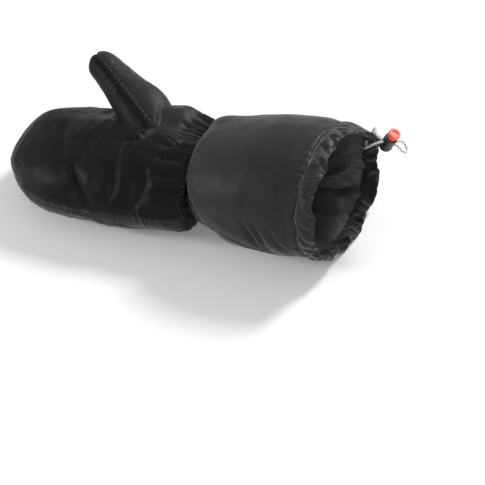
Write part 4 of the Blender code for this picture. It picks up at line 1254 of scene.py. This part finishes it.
def make_gauntlet():
    """The gauntlet: a puffed sleeve, gathered at the wrist and flat where it rests."""
    sizes = bpy.context.scene.mitten_sizes
    cols = 504
    turn = angles(cols)
    puff_end, hem_start, puff_rows = 0.22, 0.92, 36
    puff = puff_end * (np.arange(puff_rows) / puff_rows) ** 1.2
    middle = np.linspace(puff_end, hem_start, 42, endpoint=False)
    along = np.concatenate([puff, middle, np.linspace(hem_start, 1, 19)])
    form = gauntlet_surface(along, turn)
    away = along * GAUNTLET_LENGTH
    from_hem = (1 - along) * GAUNTLET_LENGTH
    ease = np.clip(np.minimum(away, from_hem * 2) / (25 * MM), 0, 1)
    small = moved_out(form, np.outer(-1.8 * MM * ease, np.ones(cols)))
    last = (len(along) - 1) // CLOTH_ROWS
    grid = settled(small, (0, last), ((46, 0),), 4.0, 0.006, 4 * MM)
    # The sleeve puffs back over the wrist on its upper side, and is drawn away from it on the
    # near side, where the heel of the hand swells out
    swell = faded(away - 9 * MM, 11 * MM)[:, None] * facing(turn, 60) * 4 * MM
    grid[:, :, 0] -= swell * np.clip(away / (3 * MM), 0, 1)[:, None]
    drawn = faded(np.degrees(turn) - 175, 32) * 9 * MM
    grid[:, :, 0] += faded(away, 16 * MM)[:, None] * drawn
    shift = gathers(turn, away[:, None], sizes.gather_depth * 0.3, sizes.wrist_pleats)
    shift += pleats(turn, 38, 6.0) * faded(from_hem, 7 * MM)[:, None] * 0.7 * MM
    shift -= (2.2 * MM * faded(from_hem, 2.6 * MM))[:, None]
    shift += folds(form, GAUNTLET_FOLDS) + swells(form, GAUNTLET_SWELLS)
    seam = smooth_line(np.array(GAUNTLET_SEAM) * MM, 4 * MM)
    shift += puckers(form, seam, 1.3 * MM, 8 * MM, 6 * MM, 7.0)
    shift += lumps(form, 50 * MM, 8) * 1.2 * MM * sizes.fold_depth
    shift += lumps(form, 18 * MM, 9) * 0.35 * MM * sizes.fold_depth
    grid = moved_out(grid, shift)
    grid[:, :, 0] += faded(from_hem, 12 * MM)[:, None] * stitch_wave(turn)
    inner_along = np.linspace(0, 1, 14)
    inner = gauntlet_surface(inner_along, turn, gauntlet_wall(inner_along))
    obj = shell("gauntlet_shell", grid, inner, 448 * MM, CLOTHS[:2], True)
    keep(obj, "shell_fabric", "gauntlet")


def make_lining():
    """The thin sleeve inside the gauntlet, loose and creased."""
    sizes = bpy.context.scene.mitten_sizes
    cols = 360
    turn = angles(cols)
    along = np.linspace(0, 1, 72)
    base = gauntlet_surface(along, turn, gauntlet_wall(along) + 1.4 * MM)
    proud = 3.0 * MM + folds(base, LINING_FOLDS)
    down = along[:, None]
    phase = 4.5 * turn + 1.6 * np.sin(down * 4 + 2 * turn) + 1.8 * down
    proud += (np.abs(np.sin(phase)) ** 0.5 - 0.5) * 2.4 * MM * sizes.fold_depth
    lengthwise = (0.35, 1, 1)
    proud += lumps(base, 26 * MM, 11, lengthwise) * 1.6 * MM
    proud -= creases(base, 30 * MM, 12, lengthwise) * 1.6 * MM
    ease = np.clip(np.minimum(along / 0.08, (1 - along) / 0.07), 0.05, 1)[:, None]
    inward = np.minimum(-proud, 0.3 * MM) * ease
    sheet = moved_out(base, inward, 1.2 * MM)
    at_hem = faded((1 - along) * GAUNTLET_LENGTH, 8 * MM)[:, None]
    ruffle = stitch_wave(turn) * 1.6 + pleats(turn, 40, 7.0) * 0.8 * MM
    sheet[:, :, 0] += at_hem * (ruffle + 1.5 * MM)
    inner = moved_out(sheet, np.full(sheet.shape[:2], -0.8 * MM), 2.0 * MM)
    obj = shell("lining_sleeve", sheet, inner, 400 * MM, CLOTHS[1:2], True)
    keep(obj, "lining_fabric", "cuff_lining")


def stitch_wave(turn):
    """How far the hem's stitch line wanders along the mitten."""
    return (np.sin(11 * turn + 1.5 * np.sin(2 * turn)) + 0.6 * np.sin(23 * turn + 2)) * 0.9 * MM


def hem_form(turn, share, offset):
    """The hem's middle surface moved out by `offset`, from its stitch line to its rim."""
    ends = gauntlet_surface(np.array([1.0]), turn)[0]
    middle = ends.mean(axis=0)
    out = ends - middle
    out[:, 0] = 0
    out /= np.linalg.norm(out, axis=1, keepdims=True)
    spout = spout_share(turn) * max(share, 0) ** 1.5
    fold = np.sin(14 * turn + 1.2 * np.sin(3 * turn) + 2.0 * share) * 1.5 * MM
    wide = np.abs(np.sin(9 * turn + 2.2 * np.sin(4 * turn) - 2.5 * share + 1))
    narrow = np.abs(np.sin(19 * turn + 2.0 * np.sin(5 * turn) + 2.0 * share))
    fold += (wide**0.7 - 0.6) * 2.6 * MM + (narrow**0.8 - 0.6) * 1.3 * MM
    fold += pleats(turn + 0.10 * share, 60, 9.0) * 0.45 * MM * (1 - share)
    radial = fold * min(1.0, 0.25 + share) - 1 * MM * share - spout * SPOUT_DROP
    # The rim's wave is softer on the near and low sides
    soft = 1 - 0.45 * facing(turn, 290)
    wave = ((np.sin(7 * turn) - 1) * 2.2 * MM + pleats(turn, 26, 5.0) * 1.0 * MM) * soft
    points = ends + out * (radial + offset)[:, None]
    points[:, 0] = STITCH_X + share * HEM_WIDTH + spout * SPOUT_REACH + wave * (1 - spout) * share
    points[:, 0] += stitch_wave(turn) * (1 - share)
    points[:, 2] = np.maximum(points[:, 2], 0)
    return points


def hem_puff(share):
    """How full the casing stands at a share of its width: 0 at its edges, about 1 between."""
    return np.sin(math.pi * min(1, max(0, share)) ** 0.8) ** 0.6


def hem_wall(turn, inset):
    """Rows round the folded casing's section, from the outer stitch line over the rim and back."""
    half = HEM_THICKNESS / 2
    thin = half - inset
    rim = 0.90
    rows = []
    for share in np.linspace(-0.02, rim, 17):
        puff = hem_puff(share)
        rows.append(hem_form(turn, share, (0.55 + 0.45 * puff) * thin + 1.4 * MM * puff - half))
    for step in np.linspace(0, math.pi, 9)[1:-1]:
        share = rim + 0.12 * math.sin(step) * (1 - inset / half)
        rows.append(hem_form(turn, share, 0.55 * math.cos(step) * thin - half))
    for share in np.linspace(rim, -0.10, 14):
        rows.append(hem_form(turn, share, -(0.55 + 0.45 * hem_puff(share)) * thin - half))
    return np.array(rows)


def make_hem():
    """The folded hem casing, gathered by its drawcord and drawn out into a spout."""
    turn = angles(720)
    outer = hem_wall(turn, 0.0)
    inner = hem_wall(turn, 0.6 * MM)[::2]
    obj = shell("hem_casing_cloth", outer, inner, 500 * MM, ["hem nylon"], True)
    keep(obj, "shell_fabric", "hem_casing")


def make_stitching():
    """The row of stitches along the hem."""
    hem = hem_wall(angles(480), 0.0)
    row = 2
    obj = stitches("hem_stitches", hem[row] + normals(hem)[row] * 0.1 * MM)
    keep(obj, "shell_fabric")


# The add-on


class MittenColours(bpy.types.PropertyGroup):
    fabric: FloatVectorProperty(
        name="Shell Fabric", description="Colour of the outer nylon",
        default=(0.0115, 0.0117, 0.0121), subtype="COLOR", min=0, max=1,
    )
    palm: FloatVectorProperty(
        name="Palm Fabric", description="Colour of the plainer nylon of palm and thumb",
        default=(0.0052, 0.0053, 0.0055), subtype="COLOR", min=0, max=1,
    )
    # The lining's own dark nylon, set about three times paler than the shell's: partly its own colour,
    # partly painted light standing in for the light inside the sleeve
    lining: FloatVectorProperty(
        name="Lining", description="Colour of the lining inside",
        default=(0.032, 0.0323, 0.0330), subtype="COLOR", min=0, max=1,
    )
    cord_dark: FloatVectorProperty(
        name="Cord Dark", description="Colour of the cord's dark strands",
        default=(0.012, 0.012, 0.013), subtype="COLOR", min=0, max=1,
    )
    cord_pale: FloatVectorProperty(
        name="Cord Pale", description="Colour of the cord's pale strands",
        default=(0.75, 0.76, 0.76), subtype="COLOR", min=0, max=1,
    )
    lock: FloatVectorProperty(
        name="Cord Lock", description="Colour of the lock's barrel",
        default=(0.014, 0.014, 0.015), subtype="COLOR", min=0, max=1,
    )
    button: FloatVectorProperty(
        name="Button", description="Colour of the lock's button",
        default=(0.72, 0.075, 0.028), subtype="COLOR", min=0, max=1,
    )
    thread: FloatVectorProperty(
        name="Thread", description="Colour of the sewing thread",
        default=(0.016, 0.016, 0.017), subtype="COLOR", min=0, max=1,
    )


class MittenSizes(bpy.types.PropertyGroup):
    cord_diameter: FloatProperty(
        name="Cord Diameter", description="Thickness of the drawcord",
        default=0.0026, unit="LENGTH", min=0.001, max=0.006,
    )
    wrist_pleats: IntProperty(
        name="Wrist Pleats", description="How many gathers run round the wrist",
        default=72, min=24, max=120,
    )
    gather_depth: FloatProperty(
        name="Gather Depth", description="How deep the wrist's gathers are",
        default=0.0028, unit="LENGTH", min=0, max=0.006,
    )
    fold_depth: FloatProperty(
        name="Fold Depth", description="Strength of the soft folds in the cloth",
        default=1.0, subtype="FACTOR", min=0, max=2,
    )
    stitch_pitch: FloatProperty(
        name="Stitch Pitch", description="Distance from one stitch to the next",
        default=0.0036, unit="LENGTH", min=0.001, max=0.01,
    )
    stitch_length: FloatProperty(
        name="Stitch Length", description="Visible length of each stitch",
        default=0.0026, unit="LENGTH", min=0.0005, max=0.01,
    )
    thread_diameter: FloatProperty(
        name="Thread Diameter", description="Thickness of the sewing thread",
        default=0.0006, unit="LENGTH", min=0.0002, max=0.002,
    )


class MittenStage(bpy.types.PropertyGroup):
    floor_colour: FloatVectorProperty(
        name="Floor", description="Colour of the floor",
        default=(0.86, 0.86, 0.86), subtype="COLOR", min=0, max=1,
    )
    key_power: FloatProperty(
        name="Key Light", description="Power of the light by the camera",
        default=15.0, unit="POWER", min=0, max=1000,
    )
    back_power: FloatProperty(
        name="Back Light", description="Power of the light behind the mitten",
        default=38.0, unit="POWER", min=0, max=1000,
    )
    side_power: FloatProperty(
        name="Side Light", description="Power of the light from the fingertips' side",
        default=14.0, unit="POWER", min=0, max=1000,
    )
    world_strength: FloatProperty(
        name="Surroundings", description="Brightness of the pale surroundings",
        default=0.42, subtype="FACTOR", min=0, max=4,
    )


class MITTEN_OT_stage(bpy.types.Operator):
    """Add the floor, the lights and the camera"""

    bl_idname = "mitten.stage"
    bl_label = "Stage"

    def execute(self, context):
        make_stage()
        return {"FINISHED"}


class MITTEN_OT_drawcord(bpy.types.Operator):
    """Add the braided drawcord along its route"""

    bl_idname = "mitten.drawcord"
    bl_label = "Drawcord"

    def execute(self, context):
        make_drawcord()
        return {"FINISHED"}


class MITTEN_OT_cord_lock(bpy.types.Operator):
    """Finish the cord lock's barrel and button and add its grip ribs"""

    bl_idname = "mitten.cord_lock"
    bl_label = "Cord Lock"

    def execute(self, context):
        make_cord_lock()
        return {"FINISHED"}


class MITTEN_OT_hand(bpy.types.Operator):
    """Add the stuffed palm and back of the hand"""

    bl_idname = "mitten.hand"
    bl_label = "Hand"

    def execute(self, context):
        make_hand()
        return {"FINISHED"}


class MITTEN_OT_thumb(bpy.types.Operator):
    """Add the stuffed thumb with its middle seam"""

    bl_idname = "mitten.thumb"
    bl_label = "Thumb"

    def execute(self, context):
        make_thumb()
        return {"FINISHED"}


class MITTEN_OT_wrist(bpy.types.Operator):
    """Add the elastic band of tightly gathered cloth"""

    bl_idname = "mitten.wrist"
    bl_label = "Wrist Gathers"

    def execute(self, context):
        make_wrist()
        return {"FINISHED"}


class MITTEN_OT_gauntlet(bpy.types.Operator):
    """Add the puffed sleeve of the gauntlet"""

    bl_idname = "mitten.gauntlet"
    bl_label = "Gauntlet"

    def execute(self, context):
        make_gauntlet()
        return {"FINISHED"}


class MITTEN_OT_lining(bpy.types.Operator):
    """Add the loose lining inside the gauntlet"""

    bl_idname = "mitten.lining"
    bl_label = "Lining"

    def execute(self, context):
        make_lining()
        return {"FINISHED"}


class MITTEN_OT_hem(bpy.types.Operator):
    """Add the folded and gathered hem casing"""

    bl_idname = "mitten.hem"
    bl_label = "Hem Casing"

    def execute(self, context):
        make_hem()
        return {"FINISHED"}


class MITTEN_OT_stitching(bpy.types.Operator):
    """Add the row of stitches along the hem"""

    bl_idname = "mitten.stitching"
    bl_label = "Stitching"

    def execute(self, context):
        make_stitching()
        return {"FINISHED"}


# The operators in the order that the add-on runs them
STEPS = (
    "stage", "cord_lock", "drawcord", "hand", "thumb", "wrist", "gauntlet", "lining", "hem",
    "stitching",
)


class MITTEN_PT_panel(bpy.types.Panel):
    """The mitten's sizes, colours and pieces"""

    bl_idname = "MITTEN_PT_panel"
    bl_label = "Down Mitten"
    bl_space_type = "VIEW_3D"
    bl_region_type = "UI"
    bl_category = "Mitten"

    def draw(self, context):
        layout = self.layout
        scene = context.scene
        for group in (scene.mitten_sizes, scene.mitten_colours, scene.mitten_stage):
            box = layout.box()
            for name in group.__annotations__:
                box.prop(group, name)
        for step in STEPS:
            layout.operator(f"mitten.{step}")


CLASSES = (
    MittenColours,
    MittenSizes,
    MittenStage,
    MITTEN_OT_stage,
    MITTEN_OT_drawcord,
    MITTEN_OT_cord_lock,
    MITTEN_OT_hand,
    MITTEN_OT_thumb,
    MITTEN_OT_wrist,
    MITTEN_OT_gauntlet,
    MITTEN_OT_lining,
    MITTEN_OT_hem,
    MITTEN_OT_stitching,
    MITTEN_PT_panel,
)


def register():
    for cls in CLASSES:
        bpy.utils.register_class(cls)
    bpy.types.Scene.mitten_colours = PointerProperty(type=MittenColours)
    bpy.types.Scene.mitten_sizes = PointerProperty(type=MittenSizes)
    bpy.types.Scene.mitten_stage = PointerProperty(type=MittenStage)


def unregister():
    for name in ("mitten_colours", "mitten_sizes", "mitten_stage"):
        delattr(bpy.types.Scene, name)
    for cls in reversed(CLASSES):
        bpy.utils.unregister_class(cls)


def main():
    register()
    for step in STEPS:
        getattr(bpy.ops.mitten, step)()
    boxes = {"cad": CAD_BOX, "visual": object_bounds()}
    boxes = {name: [[float(value) for value in corner] for corner in box] for name, box in boxes.items()}


if __name__ == "__main__":
    main()
